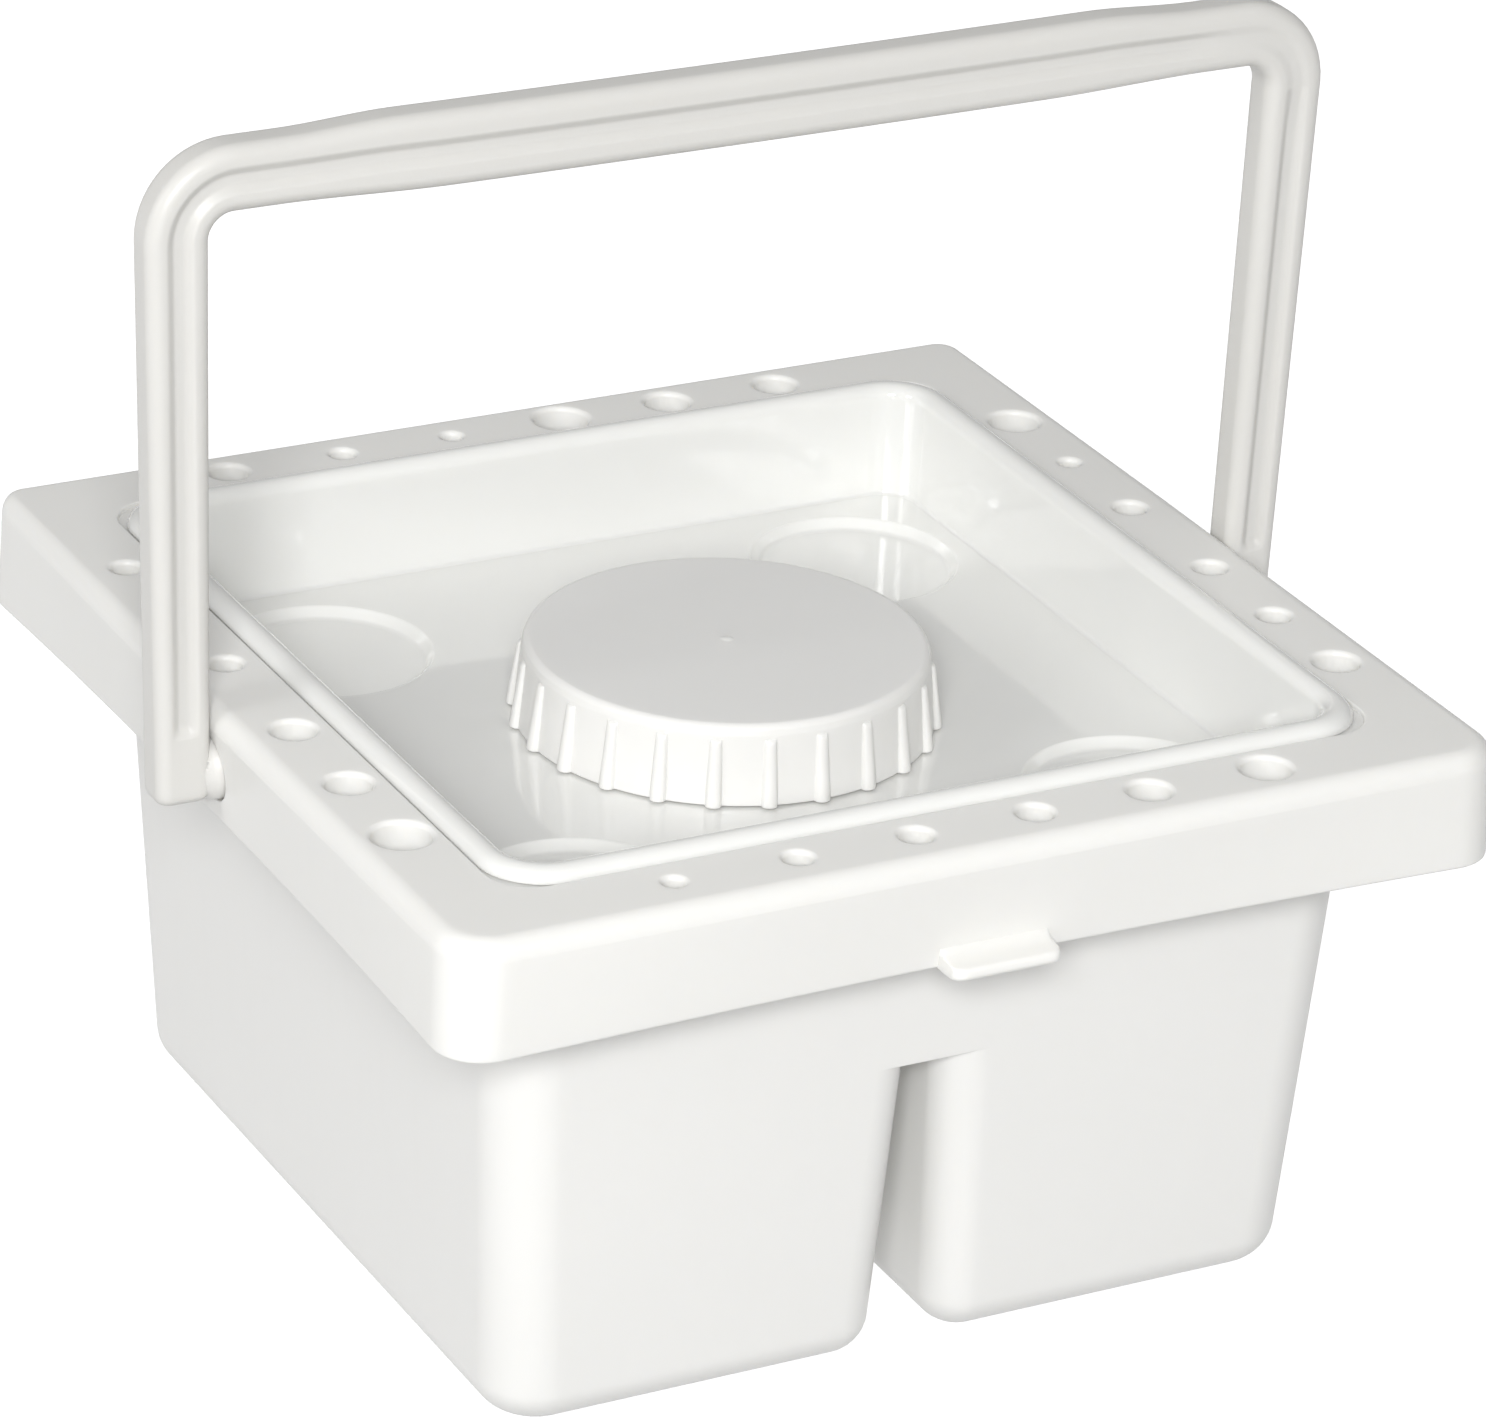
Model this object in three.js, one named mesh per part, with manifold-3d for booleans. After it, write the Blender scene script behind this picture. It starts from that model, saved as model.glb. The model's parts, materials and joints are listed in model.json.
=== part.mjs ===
// Square plastic caddy: a two-pod bucket, a skirted lid frame with brush holes all round, a drop-in
// palette tray with a screw-capped neck, and a swinging carry handle.
// Millimetres, +Z up, with the pull tab facing -Y. Everything is drawn about the bucket's upright
// middle line, and then moved so that the origin is the middle of the whole caddy's box, at its base.

import * as THREE from "three";
import * as BufferGeometryUtils from "three/addons/utils/BufferGeometryUtils.js";
import Module from "manifold-3d";

const wasm = await Module();
wasm.setup();

// ---- driving dimensions ----------------------------------------------------------------------
const FIT_GAP = 0.4;               // air between pieces that touch or slide

const LID_HALF = 115;              // skirt's lower edge, centre to face
const LID_DRAFT = 0.7;             // the skirt leans in by this much at its top
const LID_TOP = 123.2;
const LID_EDGE_RADIUS = 4;
const LID_CORNER_RADIUS = 11;
const SKIRT_LOW = 98.8;
const SKIRT_WALL = 2.4;
const SKIRT_BOW = 3;               // the skirt's lower edge is drawn in at mid side
const FLANGE_WALL = 2.6;

const BUCKET_BASE_HALF = 89;
const BUCKET_SHOULDER_HALF = 94.5; // at the level of the skirt's lower edge
const BUCKET_RIM_HALF = 95;
const BUCKET_CORNER_RADIUS = 12.5;
const BUCKET_EDGE_RADIUS = 8;      // bottom edge
const BUCKET_WALL = 2.2;
const GAP_ROOF = 67.3;             // top of the gap between the two pods
const GAP_BASE_HALF = 6.5;
const GAP_ROOF_HALF = 3.4;
const POD_CORNER_RADIUS = 9;

const TRAY_BEAD_HALF = 95;
const TRAY_BEAD_RADIUS = 13;
const TRAY_BEAD_PROUD = 2;         // bead above the lid's top face
const TRAY_MOUTH_HALF = 88.9;      // inside of the wall, at the top
const TRAY_FLOOR_HALF = 88.2;
const TRAY_FLOOR = 100.5;
const TRAY_WALL = 1.8;
const TRAY_CORNER_RADIUS = 8;
const TRAY_FILLET = 1;
const RECESS_DEPTH = 1;            // the bead sits in a shallow step round the lid's opening
const RECESS_HALF = 95.6;
const RECESS_CORNER_RADIUS = 9;
const OPENING_HALF = 91;
const LOCATING_RIB_WALL = 1.2;     // ring under the lid that drops inside the bucket's rim
const LOCATING_RIB_LOW = 113;

const WELL_RADIUS = 22;
const WELL_DEPTH = 3.2;
const WELL_X = 61.5;
const WELL_Y = 59;

const CAP_TOP = 118;
const CAP_TOP_RADIUS = 40.3;
const CAP_SKIRT_RADIUS = 42.7;
const CAP_EDGE_RADIUS = 2;
const CAP_WALL = 2.2;
const CAP_RIBS = 24;
const CAP_RIB_PROUD = 1.6;
const CAP_RIB_WIDTH = 2.4;
const CAP_RIB_TOP = 114.5;
const NECK_RADIUS = 36;
const NECK_WALL = 2.4;
const LINER_RADIUS = 37.5;
const LINER_THICKNESS = 1.2;

const PIVOT_HEIGHT = 110;
const PIVOT_HOLE_RADIUS = 8.7;
const HUB_RADIUS = 8.2;
const HUB_OUTER_X = 113.4;         // the hub's face, level with the skirt's
const HUB_LIP_X = 109.2;            // inside the skirt, a lip keeps the hub from pulling out
const HUB_LIP_RADIUS = 9.4;
const HUB_INNER_X = 107.6;
const HUB_NECK_RADIUS = 4.2;
const HANDLE_BAR_HEIGHT = 233.4;   // centre line of the top bar
const ARM_INNER_BASE_X = 114.5;    // arm's two faces at the pivot
const ARM_OUTER_BASE_X = 126;
const ARM_INNER_TOP_X = 116.3;     // the arms splay out and widen towards the top
const ARM_OUTER_TOP_X = 129.6;
const BAR_WIDTH = 13.6;            // in the plane of the bail
const HANDLE_DEPTH = 9.4;          // front to back
const HANDLE_FOOT = 5.6;           // arm below the pivot
const HANDLE_CORNER_RADIUS = 14;   // centre line of the two top corners
const HANDLE_EDGE_RADIUS = 1.8;
const GRIP_HALF = 78;
const GRIP_SWELL = 1.3;            // extra half width along the grip
const GRIP_BLEND = 14;
const GROOVE_WIDTH = 4.4;
const GROOVE_DEPTH = 2;
const GROOVE_END = 10;             // groove stops this far above the arm's foot

const TAB_HALF_WIDTH = 12.5;
const TAB_REACH = 119.6;           // tip of the tab, from the centre
const TAB_THICKNESS = 2.2;
const TAB_RISE = 9;                // where the tab's top runs out into the skirt
const TAB_OVERHANG = 2.6;          // the tab moves the middle of the whole box this far forward

// Brush holes: places along each side, and the mouth's diameter at each place.
const ROW_DISTANCE = 103;
const FRONT_ROW = [-64.3, -38.2, -12.9, 12.9, 38.2, 64.3];
const SIDE_ROW = [-66, -42, -16.4, 16.4, 42, 66];
const FRONT_HOLES = [6.5, 8, 9, 9.5, 11, 12.5];
const BACK_HOLES = [10.5, 7.5, 6.5, 14, 12, 11.5];
const RIGHT_HOLES = [11.5, 9, 9, 9, 6.5, 13];
const LEFT_HOLES = [14, 11.5, 11, 9, 8, 8.5];
const MOUTH_CHAMFER = 0.8;
const SLEEVE_WALL = 1.2;
const SLEEVE_LOW = 111;

// ---- sizes worked out from them --------------------------------------------------------------
const lidTopHalf = LID_HALF - LID_DRAFT;
const flangeUnderside = LID_TOP - FLANGE_WALL;
const bucketRim = flangeUnderside - FIT_GAP;
const recessFloor = LID_TOP - RECESS_DEPTH;
const beadUnderside = recessFloor + FIT_GAP;
const beadTop = LID_TOP + TRAY_BEAD_PROUD;
const trayUnderside = TRAY_FLOOR - TRAY_WALL;
const capLow = TRAY_FLOOR + FIT_GAP;
const capCeiling = CAP_TOP - CAP_WALL;
const linerTop = capCeiling - FIT_GAP;
const neckTop = linerTop - LINER_THICKNESS - FIT_GAP;

const WHITE = { color: 0xe9e9e6, roughness: 0.38, metalness: 0 };
const IVORY = { color: 0xebeae4, roughness: 0.42, metalness: 0 };
const FOAM = { color: 0xdedcd4, roughness: 0.85, metalness: 0 };

// ---- geometry helpers ------------------------------------------------------------------------
function toSolid(geometry) {
  const bare = geometry.clone();
  bare.deleteAttribute("normal");
  bare.deleteAttribute("uv");
  const merged = BufferGeometryUtils.mergeVertices(bare, 1e-4);
  return new wasm.Manifold(new wasm.Mesh({
    numProp: 3,
    vertProperties: Float32Array.from(merged.attributes.position.array),
    triVerts: Uint32Array.from(merged.index.array),
  }));
}

function toGeometry(solid) {
  const mesh = solid.getMesh();
  const geometry = new THREE.BufferGeometry();
  geometry.setAttribute("position", new THREE.BufferAttribute(mesh.vertProperties, 3));
  geometry.setIndex(new THREE.BufferAttribute(mesh.triVerts, 1));
  geometry.computeVertexNormals();
  return geometry;
}

// A closed level outline: a square with round corners, drawn in by bow at the middle of each side.
function squareRing(half, radius, z, { bow = 0, sideSteps = 1, cornerSteps = 4 } = {}) {
  const points = [];
  const centre = half - radius;
  const corners = [[1, -1], [1, 1], [-1, 1], [-1, -1]];
  corners.forEach(([signX, signY], corner) => {
    for (let i = 0; i <= cornerSteps; i++) {
      const angle = (corner - 1 + i / cornerSteps) * Math.PI / 2;
      points.push([signX * centre + radius * Math.cos(angle), signY * centre + radius * Math.sin(angle)]);
    }
    const [x0, y0] = points[points.length - 1];
    const [nextX, nextY] = corners[(corner + 1) % 4];
    const nextAngle = corner * Math.PI / 2;
    const x1 = nextX * centre + radius * Math.cos(nextAngle);
    const y1 = nextY * centre + radius * Math.sin(nextAngle);
    for (let i = 1; i < sideSteps; i++) {
      points.push([x0 + (x1 - x0) * i / sideSteps, y0 + (y1 - y0) * i / sideSteps]);
    }
  });
  const drawn = (a, b) => a * (1 - bow / half * (1 - (b / half) ** 2));
  return points.map(([x, y]) => new THREE.Vector3(drawn(x, y), drawn(y, x), z));
}

// Joins a stack of rings that all have the same number of points. Both ends are capped, unless the
// last ring joins back to the first to make a ring-shaped body.
function loft(rings, { loop = false } = {}) {
  const count = rings[0].length;
  const positions = rings.flat().flatMap((point) => [point.x, point.y, point.z]);
  const index = [];
  const bands = loop ? rings.length : rings.length - 1;
  for (let k = 0; k < bands; k++) {
    const low = k * count;
    const high = ((k + 1) % rings.length) * count;
    for (let i = 0; i < count; i++) {
      const j = (i + 1) % count;
      index.push(low + i, low + j, high + j, low + i, high + j, high + i);
    }
  }
  if (!loop) {
    const outline = rings[0].map((point) => new THREE.Vector2(point.x, point.y));
    for (const [a, b, c] of THREE.ShapeUtils.triangulateShape(outline, [])) index.push(a, c, b);
    const top = (rings.length - 1) * count;
    const lid = rings[rings.length - 1].map((point) => new THREE.Vector2(point.x, point.y));
    for (const [a, b, c] of THREE.ShapeUtils.triangulateShape(lid, [])) {
      index.push(top + a, top + b, top + c);
    }
  }
  const geometry = new THREE.BufferGeometry();
  geometry.setAttribute("position", new THREE.Float32BufferAttribute(positions, 3));
  geometry.setIndex(index);
  return geometry;
}

function uprightCylinder(radiusLow, radiusHigh, low, high, segments) {
  const geometry = new THREE.CylinderGeometry(radiusHigh, radiusLow, high - low, segments);
  geometry.rotateX(Math.PI / 2);
  geometry.translate(0, 0, (low + high) / 2);
  return toSolid(geometry);
}

// Shape drawn in the XZ plane, extruded front to back and centred on Y = 0.
function extrudeAcrossY(shape, depth, bevel = 0) {
  const geometry = new THREE.ExtrudeGeometry(shape, {
    depth: depth - 2 * bevel,
    bevelEnabled: bevel > 0,
    bevelThickness: bevel,
    bevelSize: bevel,
    bevelOffset: -bevel,
    bevelSegments: 2,
    curveSegments: 8,
  });
  geometry.translate(0, 0, -(depth - 2 * bevel) / 2);
  geometry.rotateX(Math.PI / 2);
  return toSolid(geometry);
}

const sum = (solids) => solids.reduce((total, solid) => total.add(solid));
const lerp = THREE.MathUtils.lerp;

// ---- bucket ----------------------------------------------------------------------------------
const bucketHalfAt = (z) => lerp(BUCKET_BASE_HALF, BUCKET_SHOULDER_HALF, z / SKIRT_LOW);
const gapHalfAt = (z) => lerp(GAP_BASE_HALF, GAP_ROOF_HALF, z / GAP_ROOF);

// How far a rounded bottom edge of this radius, resting at level floor, has drawn the wall in at z.
function edgeInset(z, floor, radius) {
  const below = Math.max(0, floor + radius - Math.max(z, floor));
  return radius - Math.sqrt(radius ** 2 - below ** 2);
}

function edgeLevels(floor, radius, steps) {
  return Array.from({ length: steps + 1 }, (_, i) => floor + radius * (1 - Math.cos(i / steps * Math.PI / 2)));
}

// The bucket's outside grown inwards by wall: 0 gives the outer skin, BUCKET_WALL the inside.
function bucketSkin(wall, top) {
  const radius = BUCKET_EDGE_RADIUS - wall;
  const ring = (z, half) => {
    const inset = edgeInset(z, wall, radius);
    return squareRing(half - wall - inset, BUCKET_CORNER_RADIUS - wall - 0.6 * inset, z);
  };
  const levels = [...edgeLevels(wall, radius, 4), SKIRT_LOW];
  const rings = levels.map((z) => ring(z, bucketHalfAt(z)));
  return toSolid(loft([...rings, ring(top, BUCKET_RIM_HALF)]));
}

// Space between the pods, with their rounded upright edges at both mouths, grown by wall.
function podGap(wall, roof) {
  const far = LID_HALF + 20;
  const arcSteps = 5;
  const ring = (z, level) => {
    const inset = edgeInset(level, wall, BUCKET_EDGE_RADIUS - wall);
    const half = gapHalfAt(level) + wall + inset;
    const mouth = bucketHalfAt(level) - wall - inset;
    const radius = POD_CORNER_RADIUS - wall;
    const quarter = [];
    for (let i = 0; i <= arcSteps; i++) {
      const angle = Math.PI / 2 + i / arcSteps * Math.PI / 2;
      quarter.push([half + radius * (1 + Math.cos(angle)), mouth - radius * (1 - Math.sin(angle))]);
    }
    quarter.unshift([half + radius, far]);
    const right = [...quarter.map(([x, y]) => [x, -y]), ...quarter.reverse()];
    const left = [...right].reverse().map(([x, y]) => [-x, y]);
    return [...right, ...left].map(([x, y]) => new THREE.Vector3(x, y, z));
  };
  const levels = [...edgeLevels(wall, BUCKET_EDGE_RADIUS - wall, 4), roof];
  return toSolid(loft([ring(-1, wall), ...levels.map((z) => ring(z, z))]));
}

function bucket() {
  const inside = bucketSkin(BUCKET_WALL, bucketRim + 5).subtract(podGap(BUCKET_WALL, GAP_ROOF + BUCKET_WALL));
  return toGeometry(bucketSkin(0, bucketRim).subtract(podGap(0, GAP_ROOF)).subtract(inside));
}

// ---- lid frame -------------------------------------------------------------------------------
function brushHoles() {
  const rows = [
    [FRONT_ROW, FRONT_HOLES, (along) => [along, -ROW_DISTANCE]],
    [FRONT_ROW, BACK_HOLES, (along) => [along, ROW_DISTANCE]],
    [SIDE_ROW, RIGHT_HOLES, (along) => [ROW_DISTANCE, along]],
    [SIDE_ROW, LEFT_HOLES, (along) => [-ROW_DISTANCE, along]],
  ];
  return rows.flatMap(([places, mouths, place]) => places.map((along, i) => {
    const [x, y] = place(along);
    return { x, y, radius: mouths[i] / 2 - MOUTH_CHAMFER };
  }));
}

function lidShell() {
  const skirtTop = LID_TOP - LID_EDGE_RADIUS;
  const bowAt = (z) => SKIRT_BOW * (skirtTop - z) / (skirtTop - SKIRT_LOW);
  const ring = (half, radius, z, bow = 0) => squareRing(half, radius, z, { bow, sideSteps: 6 });
  const edgeSteps = 3;
  const edge = Array.from({ length: edgeSteps + 1 }, (_, i) => {
    const angle = i / edgeSteps * Math.PI / 2;
    const inset = LID_EDGE_RADIUS * (1 - Math.cos(angle));
    const z = skirtTop + LID_EDGE_RADIUS * Math.sin(angle);
    return ring(lidTopHalf - inset, LID_CORNER_RADIUS - 0.8 * inset, z);
  });
  const ribHalf = OPENING_HALF + LOCATING_RIB_WALL;
  const innerRadius = LID_CORNER_RADIUS - SKIRT_WALL;
  const middle = PIVOT_HEIGHT;
  const middleHalf = lerp(LID_HALF, lidTopHalf, (middle - SKIRT_LOW) / (skirtTop - SKIRT_LOW));
  return toSolid(loft([
    ring(LID_HALF, LID_CORNER_RADIUS, SKIRT_LOW, SKIRT_BOW),
    ring(middleHalf, LID_CORNER_RADIUS, middle, bowAt(middle)),
    ...edge,
    ring(RECESS_HALF, RECESS_CORNER_RADIUS, LID_TOP),
    ring(RECESS_HALF, RECESS_CORNER_RADIUS, recessFloor),
    ring(OPENING_HALF, TRAY_CORNER_RADIUS + 1, recessFloor),
    ring(OPENING_HALF, TRAY_CORNER_RADIUS + 1, LOCATING_RIB_LOW),
    ring(ribHalf, TRAY_CORNER_RADIUS + 2, LOCATING_RIB_LOW),
    ring(ribHalf, TRAY_CORNER_RADIUS + 2, flangeUnderside),
    ring(lidTopHalf - SKIRT_WALL, innerRadius, flangeUnderside),
    ring(middleHalf - SKIRT_WALL, innerRadius, middle, bowAt(middle)),
    ring(LID_HALF - SKIRT_WALL, innerRadius, SKIRT_LOW, SKIRT_BOW),
  ], { loop: true }));
}

// Pull tab: a lip that runs out of the skirt's lower edge. Drawn as a Y-Z profile.
function pullTab() {
  const root = LID_HALF - SKIRT_BOW - SKIRT_WALL / 2;
  const skirtFace = LID_HALF - SKIRT_BOW;
  const profile = new THREE.Shape();
  profile.moveTo(root, SKIRT_LOW);
  profile.lineTo(TAB_REACH - 1, SKIRT_LOW);
  profile.quadraticCurveTo(TAB_REACH, SKIRT_LOW, TAB_REACH, SKIRT_LOW + TAB_THICKNESS / 2);
  profile.quadraticCurveTo(TAB_REACH, SKIRT_LOW + TAB_THICKNESS, TAB_REACH - 1, SKIRT_LOW + TAB_THICKNESS);
  profile.quadraticCurveTo(skirtFace + 1.5, SKIRT_LOW + TAB_THICKNESS + 1, skirtFace, SKIRT_LOW + TAB_RISE);
  profile.lineTo(root, SKIRT_LOW + TAB_RISE);
  const geometry = new THREE.ExtrudeGeometry(profile, {
    depth: 2 * TAB_HALF_WIDTH,
    bevelEnabled: false,
    curveSegments: 4,
  });
  // Profile X becomes -Y, profile Y becomes Z, and the extrusion runs along X.
  geometry.translate(0, 0, -TAB_HALF_WIDTH);
  geometry.applyMatrix4(new THREE.Matrix4().set(0, 0, 1, 0, -1, 0, 0, 0, 0, 1, 0, 0, 0, 0, 0, 1));
  return toSolid(fixWinding(geometry));
}

// An axis swap that mirrors a body turns its faces inside out; this turns them back.
function fixWinding(geometry) {
  const merged = BufferGeometryUtils.mergeVertices(geometry);
  const index = merged.index.array;
  const point = new THREE.Vector3();
  const [a, b, c] = [new THREE.Vector3(), new THREE.Vector3(), new THREE.Vector3()];
  let volume = 0;
  for (let i = 0; i < index.length; i += 3) {
    a.fromBufferAttribute(merged.attributes.position, index[i]);
    b.fromBufferAttribute(merged.attributes.position, index[i + 1]);
    c.fromBufferAttribute(merged.attributes.position, index[i + 2]);
    volume += a.dot(point.crossVectors(b, c));
  }
  if (volume < 0) {
    for (let i = 0; i < index.length; i += 3) [index[i], index[i + 1]] = [index[i + 1], index[i]];
  }
  return merged;
}

function lidFrame() {
  const holes = brushHoles();
  const segments = (radius) => (radius > 4 ? 14 : 10);
  const sleeves = holes.map(({ x, y, radius }) =>
    uprightCylinder(radius + SLEEVE_WALL, radius + SLEEVE_WALL, SLEEVE_LOW, LID_TOP - 1.5, segments(radius))
      .translate([x, y, 0]));
  const drills = holes.map(({ x, y, radius }) => {
    const bore = uprightCylinder(radius, radius, SLEEVE_LOW - 1, LID_TOP + 1, segments(radius));
    const mouthTop = LID_TOP + 0.5;
    const mouth = uprightCylinder(radius, radius + MOUTH_CHAMFER + 0.5, LID_TOP - MOUTH_CHAMFER, mouthTop,
      segments(radius));
    return bore.add(mouth).translate([x, y, 0]);
  });
  const pivotDrill = new THREE.CylinderGeometry(PIVOT_HOLE_RADIUS, PIVOT_HOLE_RADIUS, 20, 32);
  pivotDrill.rotateZ(Math.PI / 2);
  const pivots = [-1, 1].map((side) => toSolid(pivotDrill).translate([side * LID_HALF, 0, PIVOT_HEIGHT]));
  return toGeometry(sum([lidShell(), pullTab(), ...sleeves]).subtract(sum([...drills, ...pivots])));
}

// ---- palette tray ----------------------------------------------------------------------------
function trayShell() {
  const ring = (half, z, radius) => squareRing(half, radius, z);
  const outerFloorHalf = TRAY_FLOOR_HALF + TRAY_WALL;
  const outerMouthHalf = TRAY_MOUTH_HALF + TRAY_WALL;
  const outerRadius = TRAY_CORNER_RADIUS + TRAY_WALL;
  const beadMiddle = (TRAY_BEAD_HALF + TRAY_MOUTH_HALF) / 2;
  return toSolid(loft([
    ring(outerFloorHalf - TRAY_FILLET, trayUnderside, outerRadius - TRAY_FILLET / 2),
    ring(outerFloorHalf - 0.3 * TRAY_FILLET, trayUnderside + 0.3 * TRAY_FILLET, outerRadius),
    ring(outerFloorHalf, trayUnderside + TRAY_FILLET, outerRadius),
    ring(outerMouthHalf, beadUnderside, outerRadius),
    ring(TRAY_BEAD_HALF - 0.3, beadUnderside, TRAY_BEAD_RADIUS),
    ring(TRAY_BEAD_HALF, beadUnderside + 0.7, TRAY_BEAD_RADIUS),
    ring(TRAY_BEAD_HALF - 0.6, beadTop - 0.8, TRAY_BEAD_RADIUS - 0.5),
    ring(beadMiddle + 1.4, beadTop, TRAY_BEAD_RADIUS - 2),
    ring(beadMiddle - 1.0, beadTop, TRAY_CORNER_RADIUS + 2),
    ring(TRAY_MOUTH_HALF + 0.5, beadTop - 1.2, TRAY_CORNER_RADIUS + 0.5),
    ring(TRAY_MOUTH_HALF, beadTop - 3, TRAY_CORNER_RADIUS),
    ring(TRAY_FLOOR_HALF, TRAY_FLOOR + TRAY_FILLET, TRAY_CORNER_RADIUS),
    ring(TRAY_FLOOR_HALF - 0.3 * TRAY_FILLET, TRAY_FLOOR + 0.3 * TRAY_FILLET, TRAY_CORNER_RADIUS),
    ring(TRAY_FLOOR_HALF - TRAY_FILLET, TRAY_FLOOR, TRAY_CORNER_RADIUS - TRAY_FILLET / 2),
  ]));
}

function paletteTray() {
  const wellFloor = TRAY_FLOOR - WELL_DEPTH;
  const wells = [];
  const dishes = [];
  for (const x of [-WELL_X, WELL_X]) {
    for (const y of [-WELL_Y, WELL_Y]) {
      const cupRadius = WELL_RADIUS + TRAY_WALL;
      const cup = uprightCylinder(cupRadius - 1, cupRadius, wellFloor - TRAY_WALL, TRAY_FLOOR - 0.5, 32);
      const dish = uprightCylinder(WELL_RADIUS - 1, WELL_RADIUS + 0.3, wellFloor, TRAY_FLOOR + 1, 32);
      wells.push(cup.translate([x, y, 0]));
      dishes.push(dish.translate([x, y, 0]));
    }
  }
  const neck = uprightCylinder(NECK_RADIUS, NECK_RADIUS, trayUnderside, neckTop, 48);
  const boreRadius = NECK_RADIUS - NECK_WALL;
  const bore = uprightCylinder(boreRadius, boreRadius, trayUnderside - 5, neckTop + 5, 48);
  return toGeometry(sum([trayShell(), ...wells, neck]).subtract(sum([...dishes, bore])));
}

// ---- screw cap and its liner -----------------------------------------------------------------
function screwCap() {
  const edge = Array.from({ length: 4 }, (_, i) => {
    const angle = i / 3 * Math.PI / 2;
    const radius = CAP_TOP_RADIUS - CAP_EDGE_RADIUS * (1 - Math.cos(angle));
    return [radius, CAP_TOP - CAP_EDGE_RADIUS * (1 - Math.sin(angle))];
  });
  const profile = [
    [0, capCeiling],
    [CAP_TOP_RADIUS - CAP_WALL, capCeiling],
    [CAP_SKIRT_RADIUS - CAP_WALL, capLow],
    [CAP_SKIRT_RADIUS, capLow],
    ...edge,
    [0, CAP_TOP],
  ].map(([radius, z]) => new THREE.Vector2(radius, z));
  const turned = new THREE.LatheGeometry(profile, 60);
  turned.rotateX(Math.PI / 2);
  // A rib is a slim wedge whose outer face follows the skirt's lean.
  const lowRadius = CAP_SKIRT_RADIUS + CAP_RIB_PROUD;
  const highRadius = lerp(CAP_SKIRT_RADIUS, CAP_TOP_RADIUS, (CAP_RIB_TOP - capLow) / (CAP_TOP - capLow))
    + 0.8 * CAP_RIB_PROUD;
  const rib = new THREE.Shape();
  rib.moveTo(CAP_TOP_RADIUS - 1, capLow);
  rib.lineTo(lowRadius, capLow);
  rib.lineTo(highRadius, CAP_RIB_TOP - 1);
  rib.lineTo(highRadius - CAP_RIB_PROUD, CAP_RIB_TOP);
  rib.lineTo(CAP_TOP_RADIUS - 1, CAP_RIB_TOP);
  const ribSolid = extrudeAcrossY(rib, CAP_RIB_WIDTH);
  const ribs = Array.from({ length: CAP_RIBS }, (_, i) => ribSolid.rotate([0, 0, i * 360 / CAP_RIBS]));
  return toGeometry(sum([toSolid(turned), ...ribs]));
}

function capLiner() {
  return toGeometry(uprightCylinder(LINER_RADIUS, LINER_RADIUS, linerTop - LINER_THICKNESS, linerTop, 48));
}

// ---- carry handle ----------------------------------------------------------------------------
// Outline in the XZ plane of the bail, or of the groove along its middle. share is 1 for the bail's
// full width and less for the groove; swell widens the grip; lift raises the open ends above the feet.
function bailShape(share, swell, lift) {
  const foot = PIVOT_HEIGHT - HANDLE_FOOT + lift;
  const climb = (z) => (z - PIVOT_HEIGHT) / (HANDLE_BAR_HEIGHT - PIVOT_HEIGHT);
  const edge = (sign) => {
    const reach = (inner, outer) => (inner + outer) / 2 + sign * share * (outer - inner) / 2;
    const baseX = reach(ARM_INNER_BASE_X, ARM_OUTER_BASE_X);
    const topX = reach(ARM_INNER_TOP_X, ARM_OUTER_TOP_X);
    const top = HANDLE_BAR_HEIGHT + sign * share * BAR_WIDTH / 2;
    const radius = HANDLE_CORNER_RADIUS + sign * share * BAR_WIDTH / 2;
    return { foot: lerp(baseX, topX, climb(foot)), side: topX, top, radius, swell: sign * swell };
  };
  const outer = edge(1);
  const inner = edge(-1);
  const shape = new THREE.Shape();
  shape.moveTo(outer.foot, foot);
  shape.lineTo(outer.side, outer.top - outer.radius);
  shape.absarc(outer.side - outer.radius, outer.top - outer.radius, outer.radius, 0, Math.PI / 2, false);
  shape.lineTo(GRIP_HALF + GRIP_BLEND, outer.top);
  shape.lineTo(GRIP_HALF, outer.top + outer.swell);
  shape.lineTo(-GRIP_HALF, outer.top + outer.swell);
  shape.lineTo(-GRIP_HALF - GRIP_BLEND, outer.top);
  shape.absarc(-outer.side + outer.radius, outer.top - outer.radius, outer.radius, Math.PI / 2, Math.PI, false);
  shape.lineTo(-outer.foot, foot);
  shape.lineTo(-inner.foot, foot);
  shape.lineTo(-inner.side, inner.top - inner.radius);
  shape.absarc(-inner.side + inner.radius, inner.top - inner.radius, inner.radius, Math.PI, Math.PI / 2, true);
  shape.lineTo(-GRIP_HALF - GRIP_BLEND, inner.top);
  shape.lineTo(-GRIP_HALF, inner.top + inner.swell);
  shape.lineTo(GRIP_HALF, inner.top + inner.swell);
  shape.lineTo(GRIP_HALF + GRIP_BLEND, inner.top);
  shape.absarc(inner.side - inner.radius, inner.top - inner.radius, inner.radius, Math.PI / 2, 0, true);
  shape.lineTo(inner.foot, foot);
  shape.closePath();
  return shape;
}

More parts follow.
